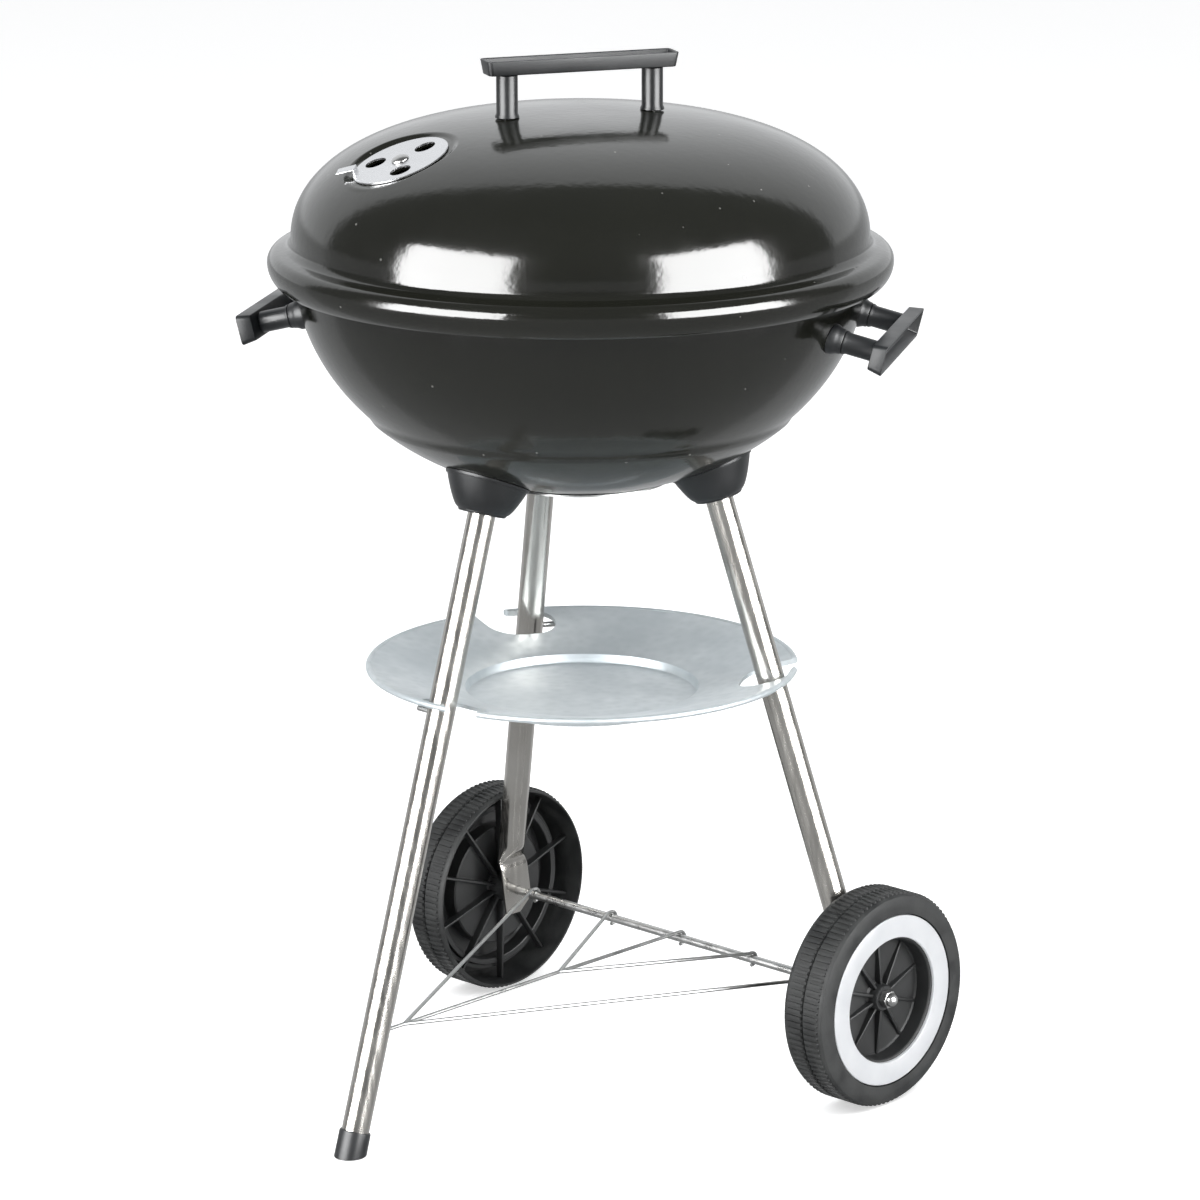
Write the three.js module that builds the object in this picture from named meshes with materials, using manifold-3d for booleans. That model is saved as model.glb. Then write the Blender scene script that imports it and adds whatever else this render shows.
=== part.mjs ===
// Kettle charcoal grill on three tube legs: a rounded bowl with a lift-off lid, a wire brace, a round tray
// twisted onto the legs, and two spoked wheels on a through axle. Millimetres, +Z up. The axle runs along X,
// the plain front leg stands at -Y, and the finished assembly stands on z = 0 under its own box centre.
import * as THREE from 'three';
import { mergeVertices } from 'three/addons/utils/BufferGeometryUtils.js';
import Module from 'manifold-3d';

const wasm = await Module();
wasm.setup();

// ---- driving dimensions ----
const GAP = 0.3; // clearance left between pieces that touch
const SHEET = 1.5; // enamelled steel of lid and bowl
const FACETS = 32; // facets round the kettle

const BOWL_RADIUS = 195;
const BOWL_DEPTH = 154;
const BOWL_EQUATOR_Z = 583;
const BOWL_STEP = 1.6; // pressed ledge low on the bowl
const BOWL_STEP_ANGLE = THREE.MathUtils.degToRad(-42);

const LID_RADIUS = 196.8;
const LID_WALL_Z = 602; // where the dome meets the flared rim
const LID_RISE = 84;
const LID_RADIAL_POWER = 2 / 2.67;
const LID_HEIGHT_POWER = 2 / 2.13;

const HANDLE_LENGTH = 136;
const HANDLE_WIDTH = 21;
const HANDLE_DEPTH = 10;
const POST_RADIUS = 7.3;
const POST_LENGTH = 30;
const LID_POST_OFFSET = 51.7;
const LID_HANDLE_ANGLE = THREE.MathUtils.degToRad(62.5);
const SIDE_POST_OFFSET = 46;
const SIDE_HANDLE_Z = 548;
const SIDE_HANDLE_SLOPE = THREE.MathUtils.degToRad(14);
const COLLAR_LENGTH = 8;

const VENT_ANGLE = THREE.MathUtils.degToRad(253);
const VENT_RADIUS_ON_LID = 138;
const VENT_SEAT_RADIUS = 38;
const VENT_DISC_RADIUS = 33.5;
const VENT_HOLE_RADIUS = 7.3;
const VENT_HOLE_OFFSET = 20;
const RIVET_RADIUS = 3;

const LEG_RADIUS = 9.5;
const LEG_WALL = 1.3;
const LEG_TOP_Z = 437;
const LEG_TOP_RADIUS = 93; // distance of each leg axis from the kettle axis at LEG_TOP_Z
const FRONT_FOOT_RADIUS = 228; // the same at the floor, front leg
const REAR_AXLE_RADIUS = 199; // the same at axle height, wheel legs
const FRONT_ANGLE = THREE.MathUtils.degToRad(-90);
const RIGHT_ANGLE = THREE.MathUtils.degToRad(30);
const LEFT_ANGLE = THREE.MathUtils.degToRad(150);

const WHEEL_RADIUS = 76;
const WHEEL_HALF_WIDTH = 17.5;
const WHEEL_MID_X = 184.5;
const AXLE_Z = WHEEL_RADIUS;
const AXLE_Y = REAR_AXLE_RADIUS * Math.sin(RIGHT_ANGLE);
const AXLE_RADIUS = 3;
const SPOKES = 10;

const TRAY_RADIUS = 150;
const TRAY_RIM_Z = 300;
const WIRE_RADIUS = 1.3;

// ---- materials ----
function material(color, roughness, metalness) {
  return new THREE.MeshStandardMaterial({ color, roughness, metalness });
}

const enamel = material(0x3a3d3b, 0.25, 0.2);
const blackPlastic = material(0x202426, 0.45, 0);
const steelTube = material(0xb9bdbb, 0.22, 1);
const ventSteel = material(0xa9adaa, 0.35, 1);
const galvanised = material(0xb4bcc0, 0.45, 0.8);
const whitePlastic = material(0xe9ebea, 0.4, 0);
const tyrePlastic = material(0x3c4044, 0.6, 0);
const gridWire = material(0xc2c4c4, 0.3, 1);

// ---- solids: closed shapes that can be joined and cut ----
function toSolid(geometry) {
  const bare = geometry.clone();
  bare.deleteAttribute('normal');
  bare.deleteAttribute('uv');
  const merged = mergeVertices(bare, 1e-4);
  const kept = [];
  const index = merged.index.array;
  for (let i = 0; i < index.length; i += 3) {
    const [a, b, c] = [index[i], index[i + 1], index[i + 2]];
    if (a !== b && b !== c && c !== a) {
      kept.push(a, b, c);
    }
  }
  const vertProperties = new Float32Array(merged.attributes.position.array);
  return new wasm.Manifold(new wasm.Mesh({ numProp: 3, vertProperties, triVerts: new Uint32Array(kept) }));
}

function toMesh(name, solid, look) {
  const data = solid.getMesh();
  const geometry = new THREE.BufferGeometry();
  geometry.setAttribute('position', new THREE.BufferAttribute(data.vertProperties, 3));
  geometry.setIndex(new THREE.BufferAttribute(data.triVerts, 1));
  geometry.computeVertexNormals();
  const mesh = new THREE.Mesh(geometry, look);
  mesh.name = name;
  return mesh;
}

const joined = (first, ...rest) => rest.reduce((sum, solid) => sum.add(solid), first);
const cutBy = (first, ...rest) => rest.reduce((sum, solid) => sum.subtract(solid), first);
const placed = (solid, matrix) => solid.transform(matrix.elements);
const shifted = (solid, x, y, z) => placed(solid, new THREE.Matrix4().makeTranslation(x, y, z));

// Turns an outline of [radius, height] points round the Z axis.
function revolve(outline, segments) {
  const [first, last] = [outline[0], outline[outline.length - 1]];
  const closed = first[0] < 1e-9 && last[0] < 1e-9 ? outline : [...outline, first];
  const points = closed.map(([radius, height]) => new THREE.Vector2(Math.max(radius, 0), height));
  return toSolid(new THREE.LatheGeometry(points, segments).rotateX(Math.PI / 2));
}

// An upright cylinder between two heights; the two radii may differ.
function upright(radius, low, high, segments, topRadius = radius) {
  const geometry = new THREE.CylinderGeometry(topRadius, radius, high - low, segments).rotateX(Math.PI / 2);
  return shifted(toSolid(geometry), 0, 0, (low + high) / 2);
}

function block(width, depth, height, x, y, z) {
  return shifted(toSolid(new THREE.BoxGeometry(width, depth, height)), x, y, z);
}

// A round wire along a list of points, smoothed when curved is true.
function wire(points, radius, sides, steps, curved = false) {
  const stops = points.map(([x, y, z]) => new THREE.Vector3(x, y, z));
  const path = curved ? new THREE.CatmullRomCurve3(stops) : new THREE.LineCurve3(stops[0], stops[1]);
  const section = new THREE.Shape();
  for (let i = 0; i < sides; i += 1) {
    const turn = (i / sides) * 2 * Math.PI;
    const put = i === 0 ? 'moveTo' : 'lineTo';
    section[put](radius * Math.cos(turn), radius * Math.sin(turn));
  }
  return toSolid(new THREE.ExtrudeGeometry(section, { steps, extrudePath: path, bevelEnabled: false }));
}

function arc(centreR, centreZ, radius, fromDegrees, toDegrees, steps) {
  const points = [];
  for (let i = 0; i <= steps; i += 1) {
    const turn = THREE.MathUtils.degToRad(fromDegrees + ((toDegrees - fromDegrees) * i) / steps);
    points.push([centreR + radius * Math.cos(turn), centreZ + radius * Math.sin(turn)]);
  }
  return points;
}

// Moves an outline sideways by a distance, to the right of its direction of travel.
function offset(outline, distance) {
  return outline.map(([radius, height], i) => {
    const before = outline[Math.max(i - 1, 0)];
    const after = outline[Math.min(i + 1, outline.length - 1)];
    const along = new THREE.Vector2(after[0] - before[0], after[1] - before[1]).normalize();
    if (radius < 1e-9) {
      return [0, height - Math.sign(along.x) * distance];
    }
    return [radius + along.y * distance, height - along.x * distance];
  });
}

// A frame with its Z axis along zAxis and its X axis as near as possible to xHint.
function frameAt(origin, zAxis, xHint) {
  const z = zAxis.clone().normalize();
  const y = z.clone().cross(xHint).normalize();
  const x = y.clone().cross(z);
  return new THREE.Matrix4().makeBasis(x, y, z).setPosition(origin);
}

function groupAt(matrix, ...children) {
  const group = new THREE.Group();
  group.applyMatrix4(matrix);
  group.add(...children);
  return group;
}

const polar = (angle, radius, z) => new THREE.Vector3(radius * Math.cos(angle), radius * Math.sin(angle), z);

// ---- bowl ----
function bowlOutline(grow) {
  const points = [];
  const turnOf = (from, to, i, steps) => from + ((to - from) * i) / steps;
  for (let i = 0; i <= 5; i += 1) {
    const turn = turnOf(-Math.PI / 2, BOWL_STEP_ANGLE, i, 5);
    const extra = BOWL_STEP + grow;
    const radius = (BOWL_RADIUS + extra) * Math.cos(turn);
    points.push([i === 0 ? 0 : radius, BOWL_EQUATOR_Z + (BOWL_DEPTH + extra) * Math.sin(turn)]);
  }
  for (let i = 0; i <= 4; i += 1) {
    const turn = turnOf(BOWL_STEP_ANGLE, 0, i, 4);
    const radius = (BOWL_RADIUS + grow) * Math.cos(turn);
    points.push([radius, BOWL_EQUATOR_Z + (BOWL_DEPTH + grow) * Math.sin(turn)]);
  }
  return points;
}

const bowlRadiusAt = (z) => BOWL_RADIUS * Math.sqrt(1 - ((z - BOWL_EQUATOR_Z) / BOWL_DEPTH) ** 2);

// The bowl as a filled body, used to shape whatever sits against its outside (grow > 0) or inside (grow < 0).
function bowlBody(grow) {
  return revolve([...bowlOutline(grow), [BOWL_RADIUS + grow, 640], [0, 640]], FACETS);
}

const legAxis = {
  front: legLine('front', FRONT_ANGLE, FRONT_FOOT_RADIUS, 0),
  right: legLine('right', RIGHT_ANGLE, REAR_AXLE_RADIUS, AXLE_Z),
  left: legLine('left', LEFT_ANGLE, REAR_AXLE_RADIUS, AXLE_Z),
};

// The straight axis of a leg, from its top under the bowl down through one lower point.
function legLine(name, angle, lowRadius, lowZ) {
  const slope = (lowRadius - LEG_TOP_RADIUS) / (LEG_TOP_Z - lowZ);
  const at = (z) => polar(angle, LEG_TOP_RADIUS + (LEG_TOP_Z - z) * slope, z);
  const up = at(LEG_TOP_Z).sub(at(0)).normalize();
  return { name, angle, slope, at, up };
}

const DAMPER_HOLE_RADIUS = 13;
const DAMPER_HOLE_OFFSET = 38;
const DAMPER_LEVER_ANGLE = THREE.MathUtils.degToRad(60); // it swings to 120 degrees, between the wheel legs

function tripleHoles(radius, holeOffset, phase, low, high) {
  return [0, 1, 2].map((k) => {
    const at = polar(phase + (k * 2 * Math.PI) / 3, holeOffset, 0);
    return shifted(upright(radius, low, high, 14), at.x, at.y, 0);
  });
}

const SOCKET_MOUTH_Z = 424;
const SCREW_RADIUS = 2.5;

// Frames on the kettle wall where something is screwed on, Z pointing away from the bowl along the screw.
function socketFrame(leg) {
  return frameAt(leg.at(SOCKET_MOUTH_Z), leg.up, polar(leg.angle, 1, 0));
}

function sideHandleFrame(angle) {
  const out = polar(angle, Math.cos(SIDE_HANDLE_SLOPE), -Math.sin(SIDE_HANDLE_SLOPE));
  const wall = Math.sqrt(bowlRadiusAt(SIDE_HANDLE_Z) ** 2 - SIDE_POST_OFFSET ** 2);
  return frameAt(polar(angle, wall, SIDE_HANDLE_Z), out, polar(angle + Math.PI / 2, 1, 0));
}

const sideFrames = { right: sideHandleFrame(RIGHT_ANGLE), left: sideHandleFrame(RIGHT_ANGLE + Math.PI) };

function bowlShell() {
  const bead = arc(198.6, 590.9, 2.9, -125, 180, 6);
  const outer = bowlOutline(0);
  const outside = [...outer, [BOWL_RADIUS, 588]];
  const inside = offset(outer, -SHEET).reverse();
  const wallTop = [BOWL_RADIUS - SHEET, 589.5];
  const holes = [
    ...tripleHoles(DAMPER_HOLE_RADIUS, DAMPER_HOLE_OFFSET, 0, 400, 460),
    upright(RIVET_RADIUS + GAP, 400, 460, 12),
  ];
  for (const leg of Object.values(legAxis)) {
    holes.push(placed(upright(SCREW_RADIUS + GAP, 10, 60, 10), socketFrame(leg)));
  }
  for (const frame of Object.values(sideFrames)) {
    for (const side of [-1, 1]) {
      const hole = shifted(upright(SCREW_RADIUS + GAP, -12, 12, 10), side * SIDE_POST_OFFSET, 0, 0);
      holes.push(placed(hole, frame));
    }
  }
  return cutBy(revolve([...outside, ...bead, wallTop, ...inside], FACETS), ...holes);
}

// ---- rotary ash damper under the bowl ----
function bowlDamper() {
  const reach = 62; // radius of the dished disc
  const sheet = 1.2;
  const clear = 0.7; // gap between the disc and the bowl
  const leverZ = 433.2;
  const leverWidth = 12;
  const gripDrop = 14;
  const skin = (grow) => {
    const points = [];
    for (let i = 0; i <= 2; i += 1) {
      const radius = (reach * i) / 2;
      const across = radius / (BOWL_RADIUS + BOWL_STEP + grow);
      points.push([radius, BOWL_EQUATOR_Z - (BOWL_DEPTH + BOWL_STEP + grow) * Math.sqrt(1 - across ** 2)]);
    }
    return points;
  };
  const disc = revolve([...skin(clear + sheet), ...skin(clear).reverse()], 24);
  const leverTurn = new THREE.Matrix4().makeRotationZ(DAMPER_LEVER_ANGLE);
  const lever = placed(block(34, leverWidth, 1.4, reach + 9, 0, leverZ), leverTurn);
  const grip = placed(block(1.8, leverWidth, gripDrop, reach + 26, 0, leverZ - 6.3), leverTurn);
  const holes = [
    ...tripleHoles(DAMPER_HOLE_RADIUS, DAMPER_HOLE_OFFSET, 0, 400, 460),
    upright(RIVET_RADIUS + GAP, 400, 460, 12),
  ];
  return cutBy(joined(disc, lever, grip), ...holes, bowlBody(0.5));
}

// A rivet through two sheets: a low dome outside, a flat head inside.
function rivet(headRadius, shankLow, shankHigh) {
  const flatter = 0.45; // height of the dome against a half ball
  const dome = arc(0, shankHigh, headRadius, 0, 90, 3)
    .map(([radius, z]) => [radius, shankHigh + (z - shankHigh) * flatter]);
  const tail = [[0, shankLow - 1.5], [headRadius, shankLow - 1.5], [headRadius, shankLow]];
  const shank = [[RIVET_RADIUS, shankLow], [RIVET_RADIUS, shankHigh]];
  return revolve([...tail, ...shank, ...dome], 12);
}

// ---- handle kit: channel bar, two posts, screws; the same parts on the lid and on both sides ----
function roundedRectangle(length, width, corner) {
  const [x, y] = [length / 2 - corner, width / 2 - corner];
  const shape = new THREE.Shape();
  shape.absarc(x, y, corner, 0, Math.PI / 2);
  shape.absarc(-x, y, corner, Math.PI / 2, Math.PI);
  shape.absarc(-x, -y, corner, Math.PI, 1.5 * Math.PI);
  shape.absarc(x, -y, corner, 1.5 * Math.PI, 2 * Math.PI);
  return shape;
}

// A block with rounded corners that widens evenly from its base to its mouth.
function taperedBlock(length, width, corner, depth, draft) {
  const shape = roundedRectangle(length, width, corner);
  const geometry = new THREE.ExtrudeGeometry(shape, { depth, bevelEnabled: false, curveSegments: 2 });
  const spot = geometry.attributes.position;
  for (let i = 0; i < spot.count; i += 1) {
    const inset = draft * (1 - spot.getZ(i) / depth);
    const [x, y] = [spot.getX(i), spot.getY(i)];
    spot.setXY(i, x - (inset * 2 * x) / length, y - (inset * 2 * y) / width);
  }
  return toSolid(geometry);
}

function handleBar() {
  const wall = 2.4;
  const floor = 3;
  const body = taperedBlock(HANDLE_LENGTH, HANDLE_WIDTH, 3, HANDLE_DEPTH, 1.6);
  const inside = [HANDLE_LENGTH - 2 * wall, HANDLE_WIDTH - 2 * wall];
  const trough = taperedBlock(inside[0], inside[1], 1.5, HANDLE_DEPTH - floor + 1, 1.6);
  return cutBy(body, shifted(trough, 0, 0, floor));
}

function post(low) {
  const high = POST_LENGTH - GAP;
  const flare = [[POST_RADIUS + 1, low], [POST_RADIUS, low + 3]];
  const body = revolve([[0, low], ...flare, [POST_RADIUS, high], [0, high]], 14);
  return cutBy(body, upright(SCREW_RADIUS + GAP, low - 1, 20, 10));
}

function screw(headBase, tip) {
  const headRadius = 5.2;
  const flatter = 0.55; // height of the head against a half ball
  const dome = arc(0, headBase, headRadius, 270, 360, 3)
    .map(([radius, z]) => [radius, headBase + (z - headBase) * flatter]);
  return revolve([...dome, [SCREW_RADIUS, headBase], [SCREW_RADIUS, tip], [0, tip]], 10);
}

function sideHandle(side) {
  const frame = sideFrames[side];
  const outsideOfBowl = placed(bowlBody(GAP), frame.clone().invert());
  const parts = [groupAt(new THREE.Matrix4().makeTranslation(0, 0, POST_LENGTH),
    toMesh(`side_handle_bar_${side}`, handleBar(), blackPlastic))];
  for (const [end, x] of [['front', -SIDE_POST_OFFSET], ['back', SIDE_POST_OFFSET]]) {
    const flared = upright(10.5, -14, COLLAR_LENGTH - GAP, 14, 8.6);
    const collar = cutBy(flared, upright(SCREW_RADIUS + GAP, -20, 20, 10));
    const seat = shifted(collar, x, 0, 0).subtract(outsideOfBowl);
    const bolt = shifted(screw(-4.4, 19), x, 0, 0);
    parts.push(
      toMesh(`side_handle_collar_${side}_${end}`, seat, blackPlastic),
      groupAt(new THREE.Matrix4().makeTranslation(x, 0, 0),
        toMesh(`side_handle_post_${side}_${end}`, post(COLLAR_LENGTH), blackPlastic)),
      toMesh(`side_handle_screw_${side}_${end}`, bolt, steelTube),
    );
  }
  return groupAt(frame, ...parts);
}

// ---- lid ----
function lidOutline() {
  const points = [];
  const steps = 8;
  for (let i = 0; i <= steps; i += 1) {
    const turn = (Math.PI / 2) * (1 - (i / steps) * 0.985);
    const radius = LID_RADIUS * Math.cos(turn) ** LID_RADIAL_POWER;
    points.push([i === 0 ? 0 : radius, LID_WALL_Z + LID_RISE * Math.sin(turn) ** LID_HEIGHT_POWER]);
  }
  const fillet = arc(LID_RADIUS + 6.3, LID_WALL_Z, 6.3, 188, 262, 2);
  const rim = arc(204.6, 586.5, 8.4, 78, 12, 2);
  const skirt = arc(195, 586.5, 18, 0, -50, 3);
  return [...points, ...fillet, ...rim, ...skirt];
}

const lidHeightAt = (radius) => {
  const turn = Math.acos((radius / LID_RADIUS) ** (1 / LID_RADIAL_POWER));
  return LID_WALL_Z + LID_RISE * Math.sin(turn) ** LID_HEIGHT_POWER;
};

function lidBody(lift) {
  return shifted(revolve([...lidOutline(), [0, 572]].reverse(), FACETS), 0, 0, lift);
}

function ventFrame() {
  const height = lidHeightAt(VENT_RADIUS_ON_LID);
  const slope = (lidHeightAt(VENT_RADIUS_ON_LID + 1) - lidHeightAt(VENT_RADIUS_ON_LID - 1)) / 2;
  const normal = polar(VENT_ANGLE, -slope, 1).normalize();
  const sag = 5; // the seat lies this far below the dome
  const centre = polar(VENT_ANGLE, VENT_RADIUS_ON_LID, height).addScaledVector(normal, -sag);
  return frameAt(centre, normal, polar(VENT_ANGLE, 1, 0));
}

const VENT_PHASE = THREE.MathUtils.degToRad(61);
const VENT_TAB_ANGLE = THREE.MathUtils.degToRad(-41);
const ventPlace = ventFrame();

function lidShell() {
  const outer = lidOutline();
  const sheet = revolve([...outer, ...offset(outer, SHEET).reverse()].reverse(), FACETS);
  const opened = sheet.subtract(placed(upright(VENT_SEAT_RADIUS, -14, 20, 30), ventPlace));
  const wall = cutBy(upright(VENT_SEAT_RADIUS + SHEET, -SHEET, 9, 30), upright(VENT_SEAT_RADIUS, 0, 10, 30));
  const seat = placed(wall, ventPlace).intersect(lidBody(0));
  const holes = [
    ...tripleHoles(VENT_HOLE_RADIUS, VENT_HOLE_OFFSET, VENT_PHASE, -5, 5),
    upright(RIVET_RADIUS + GAP, -5, 5, 12),
  ].map((hole) => placed(hole, ventPlace));
  for (const side of [-1, 1]) {
    const at = polar(LID_HANDLE_ANGLE, side * LID_POST_OFFSET, 0);
    holes.push(shifted(upright(SCREW_RADIUS + GAP, 640, 700, 10), at.x, at.y, 0));
  }
  return cutBy(opened.add(seat), ...holes);
}

function lidDamper() {
  const disc = upright(VENT_DISC_RADIUS, GAP, 1.5, 30);
  const riser = block(1.5, 9, 4.2, VENT_DISC_RADIUS - 1, 0, 2.4);
  const plate = block(13, 9, 1.2, VENT_DISC_RADIUS + 4.7, 0, 3.9);
  const tab = placed(joined(riser, plate), new THREE.Matrix4().makeRotationZ(VENT_TAB_ANGLE));
  const holes = tripleHoles(VENT_HOLE_RADIUS, VENT_HOLE_OFFSET, VENT_PHASE, -5, 5);
  return cutBy(joined(disc, tab), ...holes, upright(RIVET_RADIUS + GAP, -5, 5, 12));
}

function lidHandle() {
  const base = lidHeightAt(LID_POST_OFFSET);
  const frame = new THREE.Matrix4().makeRotationZ(LID_HANDLE_ANGLE).setPosition(0, 0, base);
  const raisedLid = placed(lidBody(GAP), frame.clone().invert());
  const parts = [groupAt(new THREE.Matrix4().makeTranslation(0, 0, POST_LENGTH),
    toMesh('lid_handle_bar', handleBar(), blackPlastic))];
  for (const [end, x] of [['left', -LID_POST_OFFSET], ['right', LID_POST_OFFSET]]) {
    parts.push(
      toMesh(`lid_handle_post_${end}`, shifted(post(-4), x, 0, 0).subtract(raisedLid), blackPlastic),
      groupAt(new THREE.Matrix4().makeTranslation(x, 0, 0),
        toMesh(`lid_handle_screw_${end}`, screw(-SHEET - 1.6, 16), steelTube)),
    );
  }
  return groupAt(frame, ...parts);
}

// ---- legs, sockets and foot ----
function legSocket(leg) {
  const frame = socketFrame(leg);
  const side = [];
  for (let i = 0; i <= 3; i += 1) {
    const turn = (i / 3) * (Math.PI / 2);
    side.push([17 + 13 * Math.sin(turn), 2 + 24 * (1 - Math.cos(turn))]);
  }
  const cup = revolve([[0, 0], [15.5, 0], ...side, [30, 42], [0, 42]], 18);
  const bore = upright(LEG_RADIUS + GAP, -1, 17, 16);
  const screwBore = upright(SCREW_RADIUS + GAP, 16, 50, 10);
  const bowl = placed(bowlBody(GAP), frame.clone().invert());
  return groupAt(frame, toMesh(`leg_socket_${leg.name}`, cutBy(cup, bore, screwBore, bowl), blackPlastic));
}

// The screw that holds a socket, its head inside the bowl.
function socketScrew(leg) {
  const frame = socketFrame(leg);
  const headAt = 28.5;
  const turned = placed(screw(0, 10), new THREE.Matrix4().makeRotationX(Math.PI));
  return groupAt(frame, toMesh(`leg_screw_${leg.name}`, shifted(turned, 0, 0, headAt), steelTube));
}

const smooth = (from, to, value) => THREE.MathUtils.smoothstep(value, from, to);

// A 16-sided tube whose rings, at the given heights, follow the leg axis and flatten into an upright tab.
function ringTube(heights, pointAt) {
  const levels = heights.length - 1;
  const geometry = new THREE.CylinderGeometry(1, 1, levels, 16, levels).rotateX(Math.PI / 2);
  const spot = geometry.attributes.position;
  for (let i = 0; i < spot.count; i += 1) {
    const level = Math.round(spot.getZ(i) + levels / 2);
    const reach = Math.hypot(spot.getX(i), spot.getY(i));
    const at = pointAt(heights[level], Math.atan2(spot.getY(i), spot.getX(i)), reach);
    spot.setXYZ(i, at.x, at.y, at.z);
  }
  return toSolid(geometry);
}

const TAB_X = 163.7; // mid-plane of each flattened leg end
const TAB_HALF_THICKNESS = 1.5;
const TAB_HALF_WIDTH = 13.5;
const TAB_LOW_Z = 59;
const BEND_Z = 97;
const FLATTENING = 16; // height over which the round tube goes flat

function rearLegPoint(leg, radius) {
  const side = Math.sign(leg.at(0).x);
  return (z, turn, reach) => {
    const flat = 1 - smooth(BEND_Z, BEND_Z + FLATTENING, z);
    const onAxis = leg.at(z);
    const tilt = Math.hypot(1, leg.slope);
    const round = polar(leg.angle, radius * tilt * reach * Math.cos(turn), z).setZ(0);
    round.add(polar(leg.angle + Math.PI / 2, radius * reach * Math.sin(turn), 0));
    const bent = 1 - smooth(BEND_Z - 4, BEND_Z + 8, z);
    const centre = new THREE.Vector3(
      THREE.MathUtils.lerp(onAxis.x, side * TAB_X, bent),
      onAxis.y,
      z,
    );
    const angle = turn + leg.angle;
    const squared = (value, power) => Math.sign(value) * Math.abs(value) ** power;
    const flatX = TAB_HALF_THICKNESS * reach * squared(Math.cos(angle), 0.35);
    const flatY = TAB_HALF_WIDTH * reach * squared(Math.sin(angle), 0.75);
    return new THREE.Vector3(
      centre.x + THREE.MathUtils.lerp(round.x, flatX, flat),
      centre.y + THREE.MathUtils.lerp(round.y, flatY, flat),
      z,
    );
  };
}

function rearLeg(leg) {
  const bend = [-4, 2, 6, 9, 12, FLATTENING].map((step) => BEND_Z + step);
  const heights = [TAB_LOW_Z, ...bend, LEG_TOP_Z];
  const tube = ringTube(heights, rearLegPoint(leg, LEG_RADIUS));
  const bore = ringTube([BEND_Z + 36, LEG_TOP_Z + 5], rearLegPoint(leg, LEG_RADIUS - LEG_WALL));
  const sideways = new THREE.Matrix4().makeRotationY(Math.PI / 2);
  const axleHole = placed(upright(AXLE_RADIUS + GAP, -230, 230, 12), sideways);
  return cutBy(tube, bore, shifted(axleHole, 0, AXLE_Y, AXLE_Z));
}

const CAP_HEIGHT = 17;
const FRONT_LEG_LOW = 5; // height of the tube's lower end, inside the foot cap
const BRACE_Z = AXLE_Z + AXLE_RADIUS + WIRE_RADIUS + GAP;

function frontLeg(leg) {
  const frame = frameAt(leg.at(0), leg.up, polar(leg.angle, 1, 0));
  const stretch = 1 / leg.up.z;
  const [low, high] = [FRONT_LEG_LOW * stretch, LEG_TOP_Z * stretch];
  const bore = upright(LEG_RADIUS - LEG_WALL, low - 1, high + 1, 16);
  const tube = upright(LEG_RADIUS, low, high, 16).subtract(bore);
  const towardsAxle = new THREE.Matrix4().makeRotationX(-Math.PI / 2);
  const wireHole = placed(upright(WIRE_RADIUS + GAP, 0, 40, 10), towardsAxle);
  const at = leg.at(BRACE_Z);
  return placed(tube, frame).subtract(shifted(wireHole, at.x, at.y, at.z));
}

function footCap(leg) {
  const frame = frameAt(leg.at(0), leg.up, polar(leg.angle, 1, 0));
  const [inner, outer] = [LEG_RADIUS + GAP, LEG_RADIUS + 1.6];
  const floor = FRONT_LEG_LOW / leg.up.z - GAP;
  const wall = [[outer, -6], [outer, CAP_HEIGHT], [inner, CAP_HEIGHT], [inner, floor]];
  const cup = revolve([[0, -6], ...wall, [0, floor]], 18);
  const ground = block(80, 80, 40, leg.at(0).x, leg.at(0).y, -20);
  return placed(cup, frame).subtract(ground);
}

// ---- axle and wheels ----
function axle() {
  const end = WHEEL_MID_X + 15; // inside the domed nut
  return placed(upright(AXLE_RADIUS, -end, end, 12), new THREE.Matrix4().makeRotationY(Math.PI / 2));
}

const WEB_BACK = -1; // inner face of the web; behind it the wheel is hollow
const TREAD_INNER_RADIUS = 72.5;

// A thin moulded tyre: outer side wall and tread, open towards the leg.
function tyre() {
  const inner = 61.4;
  const shoulder = 5;
  const treadHalf = 14;
  const wall = 3;
  return revolve([
    [inner, WEB_BACK + wall], [inner + wall, WEB_BACK + wall], [inner + wall, WHEEL_HALF_WIDTH - wall],
    [TREAD_INNER_RADIUS - wall, WHEEL_HALF_WIDTH - wall], [TREAD_INNER_RADIUS, treadHalf - wall],
    [TREAD_INNER_RADIUS, -WHEEL_HALF_WIDTH], [WHEEL_RADIUS - 1.5, -WHEEL_HALF_WIDTH],
    [WHEEL_RADIUS, -treadHalf], [WHEEL_RADIUS, treadHalf],
    [WHEEL_RADIUS - shoulder, WHEEL_HALF_WIDTH], [inner, WHEEL_HALF_WIDTH],
  ], 32);
}

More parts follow.
